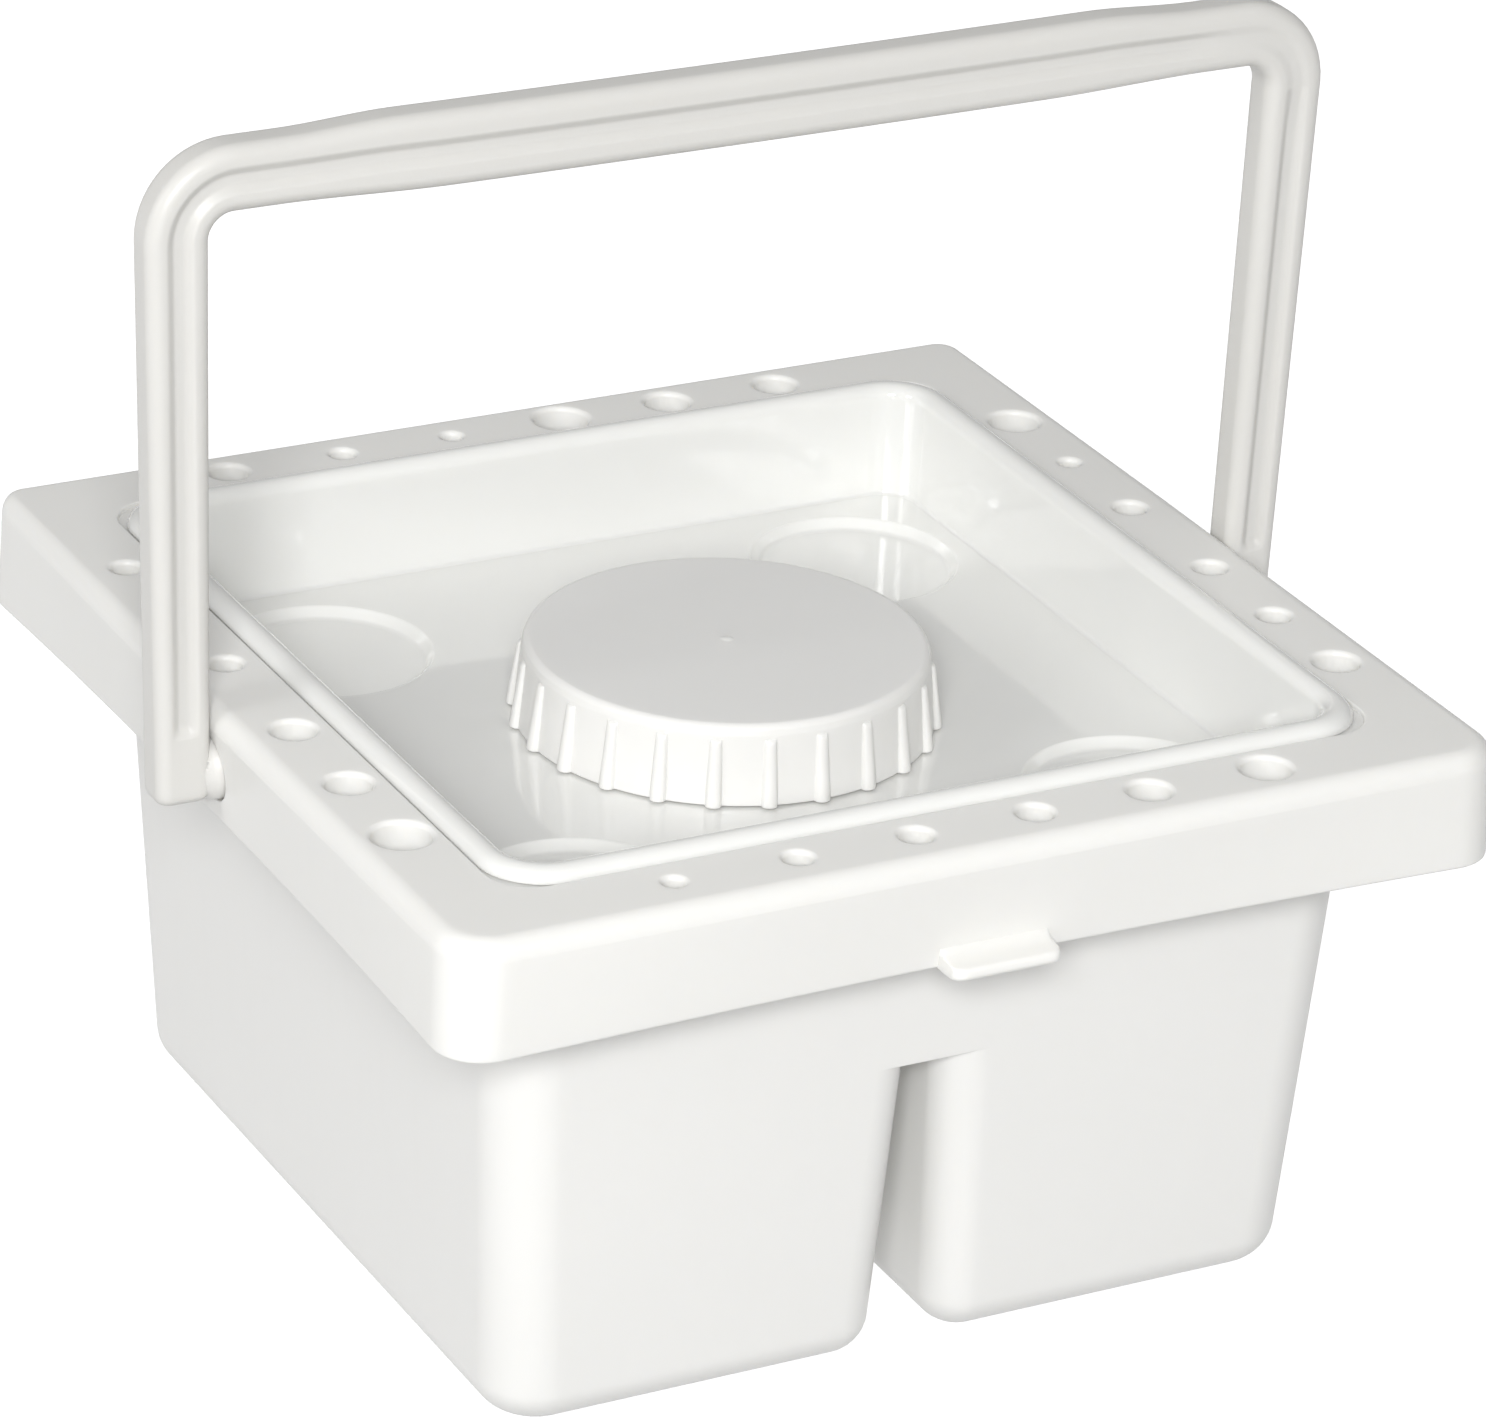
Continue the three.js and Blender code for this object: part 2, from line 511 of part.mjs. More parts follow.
function carryHandle() {
  const bail = extrudeAcrossY(bailShape(1, GRIP_SWELL, 0), HANDLE_DEPTH, HANDLE_EDGE_RADIUS);
  const groove = extrudeAcrossY(bailShape(GROOVE_WIDTH / BAR_WIDTH, 0, GROOVE_END), 2 * GROOVE_DEPTH);
  const grooves = [-1, 1].map((face) => groove.translate([0, face * HANDLE_DEPTH / 2, 0]));
  const hubProfile = [
    [0, HUB_INNER_X],
    [HUB_LIP_RADIUS, HUB_INNER_X],
    [HUB_LIP_RADIUS, HUB_LIP_X],
    [HUB_RADIUS, HUB_LIP_X],
    [HUB_RADIUS, HUB_OUTER_X],
    [HUB_NECK_RADIUS, HUB_OUTER_X],
    [HUB_NECK_RADIUS, ARM_INNER_BASE_X + 1],
    [0, ARM_INNER_BASE_X + 1],
  ].map(([radius, x]) => new THREE.Vector2(radius, x));
  const hub = new THREE.LatheGeometry(hubProfile, 32);
  hub.rotateZ(-Math.PI / 2);
  const rightHub = toSolid(hub).translate([0, 0, PIVOT_HEIGHT]);
  const hubs = [rightHub, rightHub.rotate([0, 0, 180])];
  return toGeometry(sum([bail, ...hubs]).subtract(sum(grooves)));
}

// ---- assembly --------------------------------------------------------------------------------
function piece(name, geometry, look) {
  geometry.translate(0, TAB_OVERHANG, 0);
  const mesh = new THREE.Mesh(geometry, new THREE.MeshStandardMaterial(look));
  mesh.name = name;
  return mesh;
}

const caddy = new THREE.Group();
caddy.add(
  piece("bucket", bucket(), WHITE),
  piece("lid_frame", lidFrame(), WHITE),
  piece("palette_tray", paletteTray(), WHITE),
  piece("screw_cap", screwCap(), WHITE),
  piece("cap_liner", capLiner(), FOAM),
  piece("carry_handle", carryHandle(), IVORY),
);

export default caddy;
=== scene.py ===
import json
import math

import bmesh
import bpy
import numpy as np
from mathutils import Matrix, Vector, geometry


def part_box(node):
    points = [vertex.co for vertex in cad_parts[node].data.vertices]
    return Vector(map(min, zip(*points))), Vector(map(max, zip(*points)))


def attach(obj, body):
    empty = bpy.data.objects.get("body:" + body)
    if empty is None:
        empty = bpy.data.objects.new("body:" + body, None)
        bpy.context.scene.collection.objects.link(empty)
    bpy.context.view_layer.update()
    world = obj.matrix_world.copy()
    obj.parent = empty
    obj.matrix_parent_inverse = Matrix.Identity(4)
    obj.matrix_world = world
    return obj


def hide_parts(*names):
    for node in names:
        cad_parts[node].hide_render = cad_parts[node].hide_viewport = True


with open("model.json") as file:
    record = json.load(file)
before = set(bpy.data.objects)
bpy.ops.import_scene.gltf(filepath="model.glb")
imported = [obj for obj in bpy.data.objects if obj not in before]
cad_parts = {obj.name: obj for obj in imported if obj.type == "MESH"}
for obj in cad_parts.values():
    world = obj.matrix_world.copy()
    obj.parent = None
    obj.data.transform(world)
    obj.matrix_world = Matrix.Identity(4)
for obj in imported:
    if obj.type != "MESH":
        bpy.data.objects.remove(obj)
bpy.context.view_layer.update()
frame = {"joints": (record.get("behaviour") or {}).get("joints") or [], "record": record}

# Shapes are worked out in millimetres about the bucket's upright middle line, and put into the
# frame in metres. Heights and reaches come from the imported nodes.
MM = 1000.0


def node_box(node):
    low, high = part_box(node)
    return [c * MM for c in low], [c * MM for c in high]


BUCKET_LOW, BUCKET_HIGH = node_box("bucket")
LID_LOW, LID_HIGH = node_box("lid_frame")
TRAY_LOW, TRAY_HIGH = node_box("palette_tray")
CAP_LOW, CAP_HIGH = node_box("screw_cap")
LINER_LOW, LINER_HIGH = node_box("cap_liner")
MIDDLE_Y = (BUCKET_LOW[1] + BUCKET_HIGH[1]) / 2
PIVOT_Z = next(j for j in frame["joints"] if j["name"] == "handle_swing")["pos_m"][2] * MM
BODIES = frame["record"]["behaviour"]["bodies"]


def body_with(node):
    return next(body for body, nodes in BODIES.items() if node in nodes)


# ---- mesh making -----------------------------------------------------------------------------
SAME_POINT_MM = 1e-7
WELD_M = 2e-6
NO_LENGTH_M = 1e-7


class Skin:
    """Points in millimetres and the faces between them; patches join where their edges meet."""

    def __init__(self):
        self.points = []
        self.faces = []

    def add(self, points, faces):
        base = len(self.points)
        self.points.extend(map(tuple, points))
        self.faces.extend(tuple(base + i for i in face) for face in faces)

    def grid(self, rows, keep=None):
        """Quads between closed rows. keep(row, column) may leave cells out."""
        rows = np.asarray(rows, float)
        count, width = rows.shape[:2]
        faces = []
        for k in range(count - 1):
            low, high = k * width, (k + 1) * width
            for i in range(width):
                if keep is None or keep(k, i):
                    j = (i + 1) % width
                    faces.append((low + i, low + j, high + j, high + i))
        self.add(rows.reshape(-1, 3), faces)

    def fill(self, loops, plane=(0, 1)):
        """Fills between closed loops: inside the first and outside the others."""
        loops = [np.asarray(loop, float) for loop in loops]
        points = np.vstack(loops)
        flat = points[:, list(plane)]
        edges = []
        start = 0
        for loop in loops:
            n = len(loop)
            edges += [(start + i, start + (i + 1) % n) for i in range(n)]
            start += n
        made = geometry.delaunay_2d_cdt([Vector(p) for p in flat], edges, [], 0, SAME_POINT_MM)
        corners, triangles = np.array([list(v) for v in made[0]]), np.array(made[2])
        origin = [source[0] for source in made[3]]
        kept = triangles[self.inside(corners[triangles].mean(1), flat, edges)]
        self.add(points, [tuple(origin[i] for i in face) for face in kept])

    @staticmethod
    def inside(centres, flat, edges):
        """Which centres lie within the loops, by counting the edges to one side of each."""
        crossed = np.zeros(len(centres), int)
        for first, second in edges:
            (x0, y0), (x1, y1) = flat[first], flat[second]
            if y0 == y1:
                continue
            level = (y0 > centres[:, 1]) != (y1 > centres[:, 1])
            at = x0 + (centres[:, 1] - y0) / (y1 - y0) * (x1 - x0)
            crossed += level & (centres[:, 0] < at)
        return crossed % 2 == 1


def clean_mesh(skin, name):
    mesh = bpy.data.meshes.new(name)
    points = np.array(skin.points) / MM + (0, MIDDLE_Y / MM, 0)
    mesh.from_pydata(points.tolist(), [], skin.faces)
    work = bmesh.new()
    work.from_mesh(mesh)
    bmesh.ops.remove_doubles(work, verts=work.verts, dist=WELD_M)
    bmesh.ops.dissolve_degenerate(work, edges=work.edges, dist=NO_LENGTH_M)
    bmesh.ops.recalc_face_normals(work, faces=work.faces)
    open_edges = sum(1 for edge in work.edges if len(edge.link_faces) != 2)
    if open_edges:
        print(f"{name}: {open_edges} edges are not shared by two faces")
    work.to_mesh(mesh)
    work.free()
    return mesh


def unite(obj, others):
    """Makes the other objects part of this one's mesh, and deletes them."""
    for other in others:
        union = obj.modifiers.new("join", "BOOLEAN")
        union.operation = "UNION"
        union.solver = "EXACT"
        union.object = other
    bpy.context.view_layer.update()
    made = obj.evaluated_get(bpy.context.evaluated_depsgraph_get())
    joined = bpy.data.meshes.new_from_object(made)
    obj.modifiers.clear()
    obj.data = joined
    for other in others:
        bpy.data.objects.remove(other)


def piece(skin, name, node, material, solid_with=(), sharp=32):
    """Turns a skin into a smooth closed object that stands for its CAD node."""
    obj = bpy.data.objects.new(name, clean_mesh(skin, name))
    bpy.context.collection.objects.link(obj)
    if solid_with:
        unite(obj, solid_with)
    mesh = obj.data
    mesh.materials.clear()
    mesh.materials.append(material)
    mesh.shade_smooth()
    mesh.set_sharp_from_angle(angle=math.radians(sharp))
    even = obj.modifiers.new("even normals", "WEIGHTED_NORMAL")
    even.keep_sharp = True
    even.weight = 60
    if node:
        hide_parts(node)
        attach(obj, body_with(node))
    return obj


def oval(centre, wide, high, start, end, steps):
    """Points of a level oval's arc in a profile, angles in degrees."""
    angles = np.radians(np.linspace(start, end, steps + 1))
    return [(centre[0] + wide * math.cos(a), centre[1] + high * math.sin(a)) for a in angles]


def arc(centre, radius, start, end, steps):
    return oval(centre, radius, radius, start, end, steps)


def square(half, radius, z, stations, bow=0.0, corner_steps=12):
    """A level square outline with round corners. stations are the places along each side that get
    a point; bow draws the middle of each side inwards. radius is one number, or one for each corner
    from the front right round to the front left."""
    ring = []
    radii = radius if isinstance(radius, (list, tuple)) else [radius] * 4
    quarter_turns = [(1, 0), (0, 1), (-1, 0), (0, -1)]
    for size, (c, s) in zip(radii, quarter_turns):
        side = [(along, -half) for along in stations]
        corner = arc((half - size, size - half), size, -90, 0, corner_steps)
        ring += [(x * c - y * s, x * s + y * c) for x, y in side + corner]
    ring = np.array(ring)
    drawn = ring * (1 - bow / half * (1 - (ring[:, ::-1] / half) ** 2))
    return np.column_stack([drawn, np.full(len(ring), z)])


def both_ways(places):
    """The middle, and each place to both sides of it, in order."""
    return sorted([0.0] + [side for place in places for side in (place, -place)])


def turned(skin, x, y, profile, count, start_flat=False, end_flat=False):
    """Turns a (radius, z) profile about an upright line, with flat discs on its ends if asked."""
    angles = np.linspace(0, 2 * math.pi, count, endpoint=False)
    rows = [np.column_stack([x + radius * np.cos(angles), y + radius * np.sin(angles), np.full(count, z)])
            for radius, z in profile]
    skin.grid(rows)
    if start_flat:
        skin.fill([rows[0]])
    if end_flat:
        skin.fill([rows[-1]])
    return rows


def smooth(t):
    t = np.clip(t, 0, 1)
    return t * t * (3 - 2 * t)


# ---- materials -------------------------------------------------------------------------------
MIX_FIRST, MIX_SECOND, MIX_RESULT = 6, 7, 2  # a Mix node's two colour sockets, and its colour output
SPECK_COLOUR = (0.30, 0.27, 0.23, 1)
LIGHT_DEPTH = (0.004, 0.0038, 0.0034)
GLOSS_DRIFT = 0.14


def plastic(name, colour, roughness, grain, coat=0.0, subsurface=0.0, wear=0.05):
    """Moulded plastic: a faint drift of tone, rare specks, uneven gloss with faint rub marks, and
    the fine skin of the mould."""
    material = bpy.data.materials.new(name)
    material.use_nodes = True
    nodes, links = material.node_tree.nodes, material.node_tree.links
    nodes.clear()

    def node(kind, **values):
        made = nodes.new(kind)
        for key, value in values.items():
            if key in made.inputs:
                made.inputs[key].default_value = value
            else:
                setattr(made, key, value)
        return made

    where = node("ShaderNodeTexCoord")

    def noise(scale, detail=3.0, rough=0.5):
        made = node("ShaderNodeTexNoise", Scale=scale, Detail=detail, Roughness=rough)
        links.new(where.outputs["Object"], made.inputs["Vector"])
        return made.outputs["Fac"]

    def band(value, low, high, to_low, to_high):
        made = node("ShaderNodeMapRange", interpolation_type="SMOOTHSTEP")
        limits = {"From Min": low, "From Max": high, "To Min": to_low, "To Max": to_high}
        for key, number in limits.items():
            made.inputs[key].default_value = number
        links.new(value, made.inputs["Value"])
        return made.outputs["Result"]

    def maths(operation, a, b):
        made = node("ShaderNodeMath", operation=operation)
        links.new(a, made.inputs[0])
        links.new(b, made.inputs[1])
        return made.outputs["Value"]

    shader = node("ShaderNodeBsdfPrincipled", IOR=1.49)
    shader.inputs["Coat Weight"].default_value = coat
    shader.inputs["Coat Roughness"].default_value = 0.09
    shader.inputs["Subsurface Weight"].default_value = subsurface
    shader.inputs["Subsurface Radius"].default_value = LIGHT_DEPTH
    shader.inputs["Subsurface Scale"].default_value = 1.0

    # tone: slow drift, with sparse dark specks in the resin
    drift = node("ShaderNodeMix", data_type="RGBA")
    drift.inputs[MIX_FIRST].default_value = (*[c * 0.975 for c in colour], 1)
    drift.inputs[MIX_SECOND].default_value = (*[min(1, c * 1.015) for c in colour], 1)
    links.new(noise(9.0, 2.0), drift.inputs[0])
    specks = node("ShaderNodeTexVoronoi", Scale=26.0, Randomness=1.0)
    links.new(where.outputs["Object"], specks.inputs["Vector"])
    spot = band(specks.outputs["Distance"], 0.008, 0.014, 1.0, 0.0)
    chance = node("ShaderNodeSeparateColor")
    links.new(specks.outputs["Color"], chance.inputs[0])
    spotted = maths("MULTIPLY", spot, band(chance.outputs[0], 0.955, 0.96, 0.0, 0.75))
    tone = node("ShaderNodeMix", data_type="RGBA")
    tone.inputs[MIX_SECOND].default_value = SPECK_COLOUR
    links.new(spotted, tone.inputs[0])
    links.new(drift.outputs[MIX_RESULT], tone.inputs[MIX_FIRST])
    links.new(tone.outputs[MIX_RESULT], shader.inputs["Base Color"])

    # gloss: cloudy, with faint rub marks that run at a slant
    cloudy = band(noise(14.0, 2.0), 0.0, 1.0, roughness * (1 - GLOSS_DRIFT), roughness * (1 + GLOSS_DRIFT))
    slant = node("ShaderNodeMapping", Scale=(240.0, 240.0, 16.0))
    slant.inputs["Rotation"].default_value = (0.5, 0.35, 0.8)
    links.new(where.outputs["Object"], slant.inputs["Vector"])
    streak = node("ShaderNodeTexNoise", Scale=1.0, Detail=1.0)
    links.new(slant.outputs["Vector"], streak.inputs["Vector"])
    rubbed = band(streak.outputs["Fac"], 0.5, 1.0, 0.0, wear)
    links.new(maths("ADD", cloudy, rubbed), shader.inputs["Roughness"])

    # skin: a long soft waviness under a very fine grain
    wave = node("ShaderNodeBump", Strength=0.10, Distance=0.0010)
    links.new(noise(38.0, 2.0), wave.inputs["Height"])
    fine = node("ShaderNodeBump", Strength=grain, Distance=0.00003)
    links.new(noise(1100.0, 2.0, 0.6), fine.inputs["Height"])
    links.new(wave.outputs["Normal"], fine.inputs["Normal"])
    links.new(fine.outputs["Normal"], shader.inputs["Normal"])

    output = node("ShaderNodeOutputMaterial")
    links.new(shader.outputs["BSDF"], output.inputs["Surface"])
    return material


# The matte plastics stay above a roughness of 0.28, gloss drift included. With less, contour lines
# have shown on the cap and the bucket.
MATERIALS = {
    "bucket": plastic("bucket_plastic", (0.795, 0.79, 0.768), 0.35, 0.25, subsurface=0.25, wear=0.10),
    "lid_frame": plastic("lid_plastic", (0.785, 0.78, 0.755), 0.40, 0.25, subsurface=0.35, wear=0.10),
    "palette_tray": plastic("tray_plastic", (0.80, 0.80, 0.775), 0.06, 0.05, coat=0.9,
                            subsurface=0.25, wear=0.04),
    "screw_cap": plastic("cap_plastic", (0.78, 0.775, 0.755), 0.34, 0.35, subsurface=0.25, wear=0.10),
    "cap_liner": plastic("liner_foam", (0.74, 0.73, 0.69), 0.8, 1.0),
    "carry_handle": plastic("handle_plastic", (0.63, 0.622, 0.598), 0.40, 0.45,
                            subsurface=0.25, wear=0.10),
}

# ---- lid frame -------------------------------------------------------------------------------
LID_TOP = LID_HIGH[2]
LID_HALF = 115.0
LID_EDGE = 4.0
LID_CORNER = 11.0
LID_BACK_CORNER = 6.5
BACK_FROM = 20.0
BACK_NARROWER = 1.3
BACK_EASE = 0.75
SKIRT_LOW = LID_LOW[2]
SKIRT_TOP = LID_TOP - LID_EDGE
SKIRT_WALL = 2.4
SKIRT_BOW = 3.0
SKIRT_DRAFT = 0.7
SKIRT_FOOT = 0.6
FLANGE_UNDER = LID_TOP - 2.6
FLANGE_FILLET = 0.5
RECESS_FLOOR = LID_TOP - 1.0
RECESS_HALF = 95.6
OPENING_HALF = 91.0
OPENING_CORNER = 9.0
RIB_LOW = 113.0
RIB_WALL = 1.2
SLEEVE_LOW = 111.0
SLEEVE_WALL = 1.2
BETWEEN = 117.0  # a level within the flange's depth that breaks up its long upright faces
TAB_REACH = MIDDLE_Y - LID_LOW[1]
TAB_HALF = 11.7
TAB_CORNER = 2.4
TAB_THICK = 2.6
TAB_ROUND = 1.2
TAB_ROOT = 103.1
PATCH = 13.0
PATCH_LOW = 100.3
PATCH_HIGH = 119.1
HOLE_RADIUS = 7.1
HUB_HOLE = [(0, 0.4), (0.05, 0.22), (0.18, 0.07), (0.4, 0), (SKIRT_WALL - 0.2, 0), (SKIRT_WALL, 0.2)]

INNER_LEVELS = [FLANGE_UNDER, PATCH_HIGH, 114, 109, 104, PATCH_LOW, 99.6]
TAB_LEVELS = [99.6, 99.8, 100.0, 100.15, PATCH_LOW, 100.7, 101.1, 101.5, 101.9, 102.3, 102.7, TAB_ROOT]
OUTER_LEVELS = [106, 110, 113.5, 117, PATCH_HIGH]
SIDE_STATIONS = [13, 18, 26, 36, 48, 60, 72, 84, 95]
TAB_STATIONS = [3, 6, 8.7, 9.5, 10.2, 10.8, 11.25, 11.55, 11.7, 11.78]
LID_STATIONS = both_ways(SIDE_STATIONS + TAB_STATIONS)
OPENING_STATIONS = both_ways([12, 24, 36, 48, 60, 72, 80])

MOUTH = 1.1
ROW_DISTANCE = 103.0
FRONT_ROW = (-64.3, -38.2, -12.9, 12.9, 38.2, 64.3)
SIDE_ROW = (-66.0, -42.0, -16.4, 16.4, 42.0, 66.0)
HOLES = {  # mouth diameters along each side
    "front": (6.5, 8.0, 9.0, 9.5, 11.0, 12.5),
    "back": (10.5, 7.5, 6.5, 14.0, 12.0, 11.5),
    "right": (11.5, 9.0, 9.0, 9.0, 6.5, 13.0),
    "left": (14.0, 11.5, 11.0, 9.0, 8.0, 8.5),
}
FINE_HOLE = 3.5


def skirt_half(z):
    return LID_HALF - SKIRT_DRAFT * (z - SKIRT_LOW) / (SKIRT_TOP - SKIRT_LOW)


def skirt_bow(z):
    return SKIRT_BOW * max(0.0, min(1.0, (SKIRT_TOP - z) / (SKIRT_TOP - SKIRT_LOW)))


def skirt_face(along, z, inwards=0.0):
    """Distance of the skirt's face from the middle, at a place along its side."""
    half = skirt_half(z) - inwards
    return half - skirt_bow(z) * (1 - (along / half) ** 2)


def lid_ring(inset, z):
    """The lid's outline at a height, drawn in by inset. Its back corners are the tighter ones, and
    behind the pivots it narrows a little, less so over the rounding of its top edge."""
    half = skirt_half(min(z, SKIRT_TOP)) - inset
    front, back = (max(1.0, corner - inset) for corner in (LID_CORNER, LID_BACK_CORNER))
    ring = square(half, (front, back, back, front), z, LID_STATIONS, skirt_bow(z))
    behind = np.clip((ring[:, 1] - BACK_FROM) / (LID_HALF - BACK_FROM), 0, 1)
    narrower = BACK_NARROWER * (1 - BACK_EASE * inset / LID_EDGE)
    ring[:, 0] *= 1 - narrower * behind / LID_HALF
    ring[:, 1] -= narrower * behind**2
    return ring


def tab_share(x):
    """How much of the tab's reach is there at x: full in the middle, rounded at its two corners."""
    x = np.abs(x)
    reach = TAB_REACH - skirt_face(0, SKIRT_LOW)
    past = np.clip(x - (TAB_HALF - TAB_CORNER), 0, TAB_CORNER)
    share = 1 - (TAB_CORNER - np.sqrt(TAB_CORNER**2 - past**2)) / reach
    return np.where(x <= TAB_HALF, share, 0.0)


def tab_profile():
    """The pull tab from under its lip up to its filleted root: (reach from the middle, z)."""
    lip = TAB_REACH - TAB_ROUND
    over = SKIRT_LOW + TAB_THICK
    profile = arc((lip, SKIRT_LOW + TAB_ROUND), TAB_ROUND, -90, 0, 5)
    profile += arc((lip, over - TAB_ROUND), TAB_ROUND, 20, 90, 4)
    root = skirt_face(0, TAB_ROOT)
    start, bend, end = (lip, over), (root + 0.8, over + 0.2), (root, TAB_ROOT)
    for t in np.linspace(0, 1, 8)[1:]:
        weights = (1 - t) ** 2, 2 * t * (1 - t), t * t
        profile.append(tuple(np.dot(weights, axis) for axis in zip(start, bend, end)))
    return profile


def outer_rows():
    """The skirt's foot and outer face up to the tab's root, with the tab drawn out of its front."""
    foot = [(SKIRT_FOOT * (1 - math.sin(a)), SKIRT_LOW + SKIRT_FOOT * (1 - math.cos(a)))
            for a in np.radians(range(0, 91, 18))]
    front = len(LID_STATIONS)
    rows = []
    for (inset, z), (reach, tab_z) in zip(foot + [(0.0, z) for z in TAB_LEVELS], tab_profile()):
        row = lid_ring(inset, z)
        share = tab_share(row[:front, 0])
        row[:front, 1] -= (reach + row[:front, 1]) * share
        row[:front, 2] += (tab_z - z) * (share > 0)
        rows.append(row)
    return rows, len(foot) + TAB_LEVELS.index(PATCH_LOW)


def skirt(skin):
    """The skirt from under the flange, down inside, up outside and over the top edge."""
    rows = [lid_ring(SKIRT_WALL, z) for z in INNER_LEVELS]
    rows += [lid_ring(SKIRT_WALL - SKIRT_FOOT * (1 - math.cos(a)), SKIRT_LOW + SKIRT_FOOT * (1 - math.sin(a)))
             for a in np.radians([30, 60, 90])]
    outer, patch_low = outer_rows()
    outer_start = len(rows)
    rows += outer + [lid_ring(0, z) for z in OUTER_LEVELS]
    patch_high = len(rows) - 1
    rows += [lid_ring(LID_EDGE * (1 - math.cos(a)), SKIRT_TOP + LID_EDGE * math.sin(a))
             for a in np.radians(np.linspace(0, 90, 11))]
    inner_patch = (INNER_LEVELS.index(PATCH_HIGH), INNER_LEVELS.index(PATCH_LOW))
    hub_holes(skin, rows, [inner_patch, (outer_start + patch_low, patch_high)])
    return rows


def hub_holes(skin, rows, spans):
    """Lays the skirt's cells, leaving a patch out of the left and right sides, and fills each patch
    round a hole for the handle's hub."""
    side = len(rows[0]) // 4
    columns = [i for i, s in enumerate(LID_STATIONS) if -PATCH <= s < PATCH]
    cut = {quarter * side + i for quarter in (1, 3) for i in columns}
    skin.grid(rows, keep=lambda k, i: i not in cut or not any(low <= k < high for low, high in spans))
    turn = np.linspace(0, 2 * math.pi, 72, endpoint=False)
    for quarter, sign in ((1, 1), (3, -1)):
        first, last = quarter * side + columns[0], quarter * side + columns[-1] + 2
        edges = []
        for low, high in spans:
            block = np.array([row[first:last] for row in rows[low:high + 1]])
            edges.append([*block[0], *block[1:, -1], *block[-1, -2::-1], *block[-2:0:-1, 0]])
        rings = []
        for inwards, grow in HUB_HOLE:
            y = (HOLE_RADIUS + grow) * np.cos(turn)
            z = PIVOT_Z + (HOLE_RADIUS + grow) * np.sin(turn)
            x = [sign * skirt_face(along, level, inwards) for along, level in zip(y, z)]
            rings.append(np.column_stack([x, y, z]))
        skin.grid(rings)
        skin.fill([edges[1], rings[0]], plane=(1, 2))
        skin.fill([edges[0], rings[-1]], plane=(1, 2))


def opening(skin):
    """The recess for the tray's bead, the opening, and the locating rib below it."""
    edge, foot = 0.35, RIB_WALL / 2
    profile = arc((RECESS_HALF + edge, LID_TOP - edge), edge, 90, 180, 3)
    profile += [(RECESS_HALF - inwards, RECESS_FLOOR + up) for inwards, up in ((0.05, 0.25), (0.13, 0.07))]
    profile += [(RECESS_HALF - edge, RECESS_FLOOR)]
    profile += arc((OPENING_HALF + 0.5, RECESS_FLOOR - 0.5), 0.5, 90, 180, 4)
    profile += [(OPENING_HALF, BETWEEN), *arc((OPENING_HALF + foot, RIB_LOW + foot), foot, 180, 360, 8)]
    profile += [(OPENING_HALF + RIB_WALL, BETWEEN)]
    profile += arc((OPENING_HALF + RIB_WALL + foot, FLANGE_UNDER - foot), foot, 180, 90, 4)
    rows = [square(half, OPENING_CORNER + (half - OPENING_HALF) * 0.12, z, OPENING_STATIONS)
            for half, z in profile]
    skin.grid(rows)
    return rows


def brush_holes():
    """Middle and bore radius of each of the 24 holes."""
    for side, mouths in HOLES.items():
        for i, mouth in enumerate(mouths):
            across = ROW_DISTANCE if side in ("back", "right") else -ROW_DISTANCE
            x, y = (FRONT_ROW[i], across) if side in ("front", "back") else (across, SIDE_ROW[i])
            yield x, y, mouth / 2 - MOUTH


def brush_hole(skin, x, y, radius):
    """A rounded mouth, and a sleeve that stands down from the flange."""
    outside, foot = radius + SLEEVE_WALL, SLEEVE_WALL / 2
    profile = arc((radius + MOUTH, LID_TOP - MOUTH), MOUTH, 90, 180, 7)
    profile += [(radius, BETWEEN), *arc((radius + foot, SLEEVE_LOW + foot), foot, 180, 360, 8)]
    profile += [(outside, BETWEEN)]
    profile += arc((outside + FLANGE_FILLET, FLANGE_UNDER - FLANGE_FILLET), FLANGE_FILLET, 180, 90, 4)
    return turned(skin, x, y, profile, 48 if radius > FINE_HOLE else 36)


def lid_frame():
    skin = Skin()
    outside = skirt(skin)
    inside = opening(skin)
    holes = [brush_hole(skin, x, y, radius) for x, y, radius in brush_holes()]
    skin.fill([outside[-1], inside[0], *[hole[0] for hole in holes]])
    skin.fill([outside[0], inside[-1], *[hole[-1] for hole in holes]])
    return piece(skin, "lid_frame_visual", "lid_frame", MATERIALS["lid_frame"])


# ---- palette tray ----------------------------------------------------------------------------
TRAY_FLOOR = 100.5
TRAY_WALL = 1.8
TRAY_UNDER = TRAY_FLOOR - TRAY_WALL
TRAY_LOW_HALF = 88.4
TRAY_FILLET = 0.8
TRAY_OUTSIDE = 90.5
TRAY_OUTSIDE_LOW = 89.9
TRAY_UNDER_FILLET = 2.4
BEAD_TOP = TRAY_HIGH[2]
BEAD_BASE = 122.3
BEAD_UNDER = RECESS_FLOOR + 0.4
BEAD_MIDDLE = 91.9
BEAD_HALF = 95.0
INNER_CORNERS = ([87.6, 88.4, 89.0, 91.9, 95.0], [7.2, 8.0, 8.5, 10.9, 13.0])  # (half, radius)
OUTER_CORNERS = ([87.5, 89.9, 90.5, 95.0], [7.4, 9.8, 10.2, 13.0])
WELL_RADIUS = 22.0
WELL_DEPTH = 2.2
WELL_FLOOR = TRAY_FLOOR - WELL_DEPTH
WELL_LIP = [(0.5, 0.0), (0.3, 0.04), (0.08, 0.16), (-0.12, 0.36)]
WELL_FOOT = [(-1.25, 0.5), (-1.45, 0.3), (-1.75, 0.12), (-2.15, 0.03), (-2.6, 0.0)]
WELLS = [(x, y) for x in (-61.5, 61.5) for y in (-59.0, 59.0)]
NECK_RADIUS = 36.0
NECK_BORE = NECK_RADIUS - 2.4
NECK_TOP = LINER_LOW[2] - 0.4
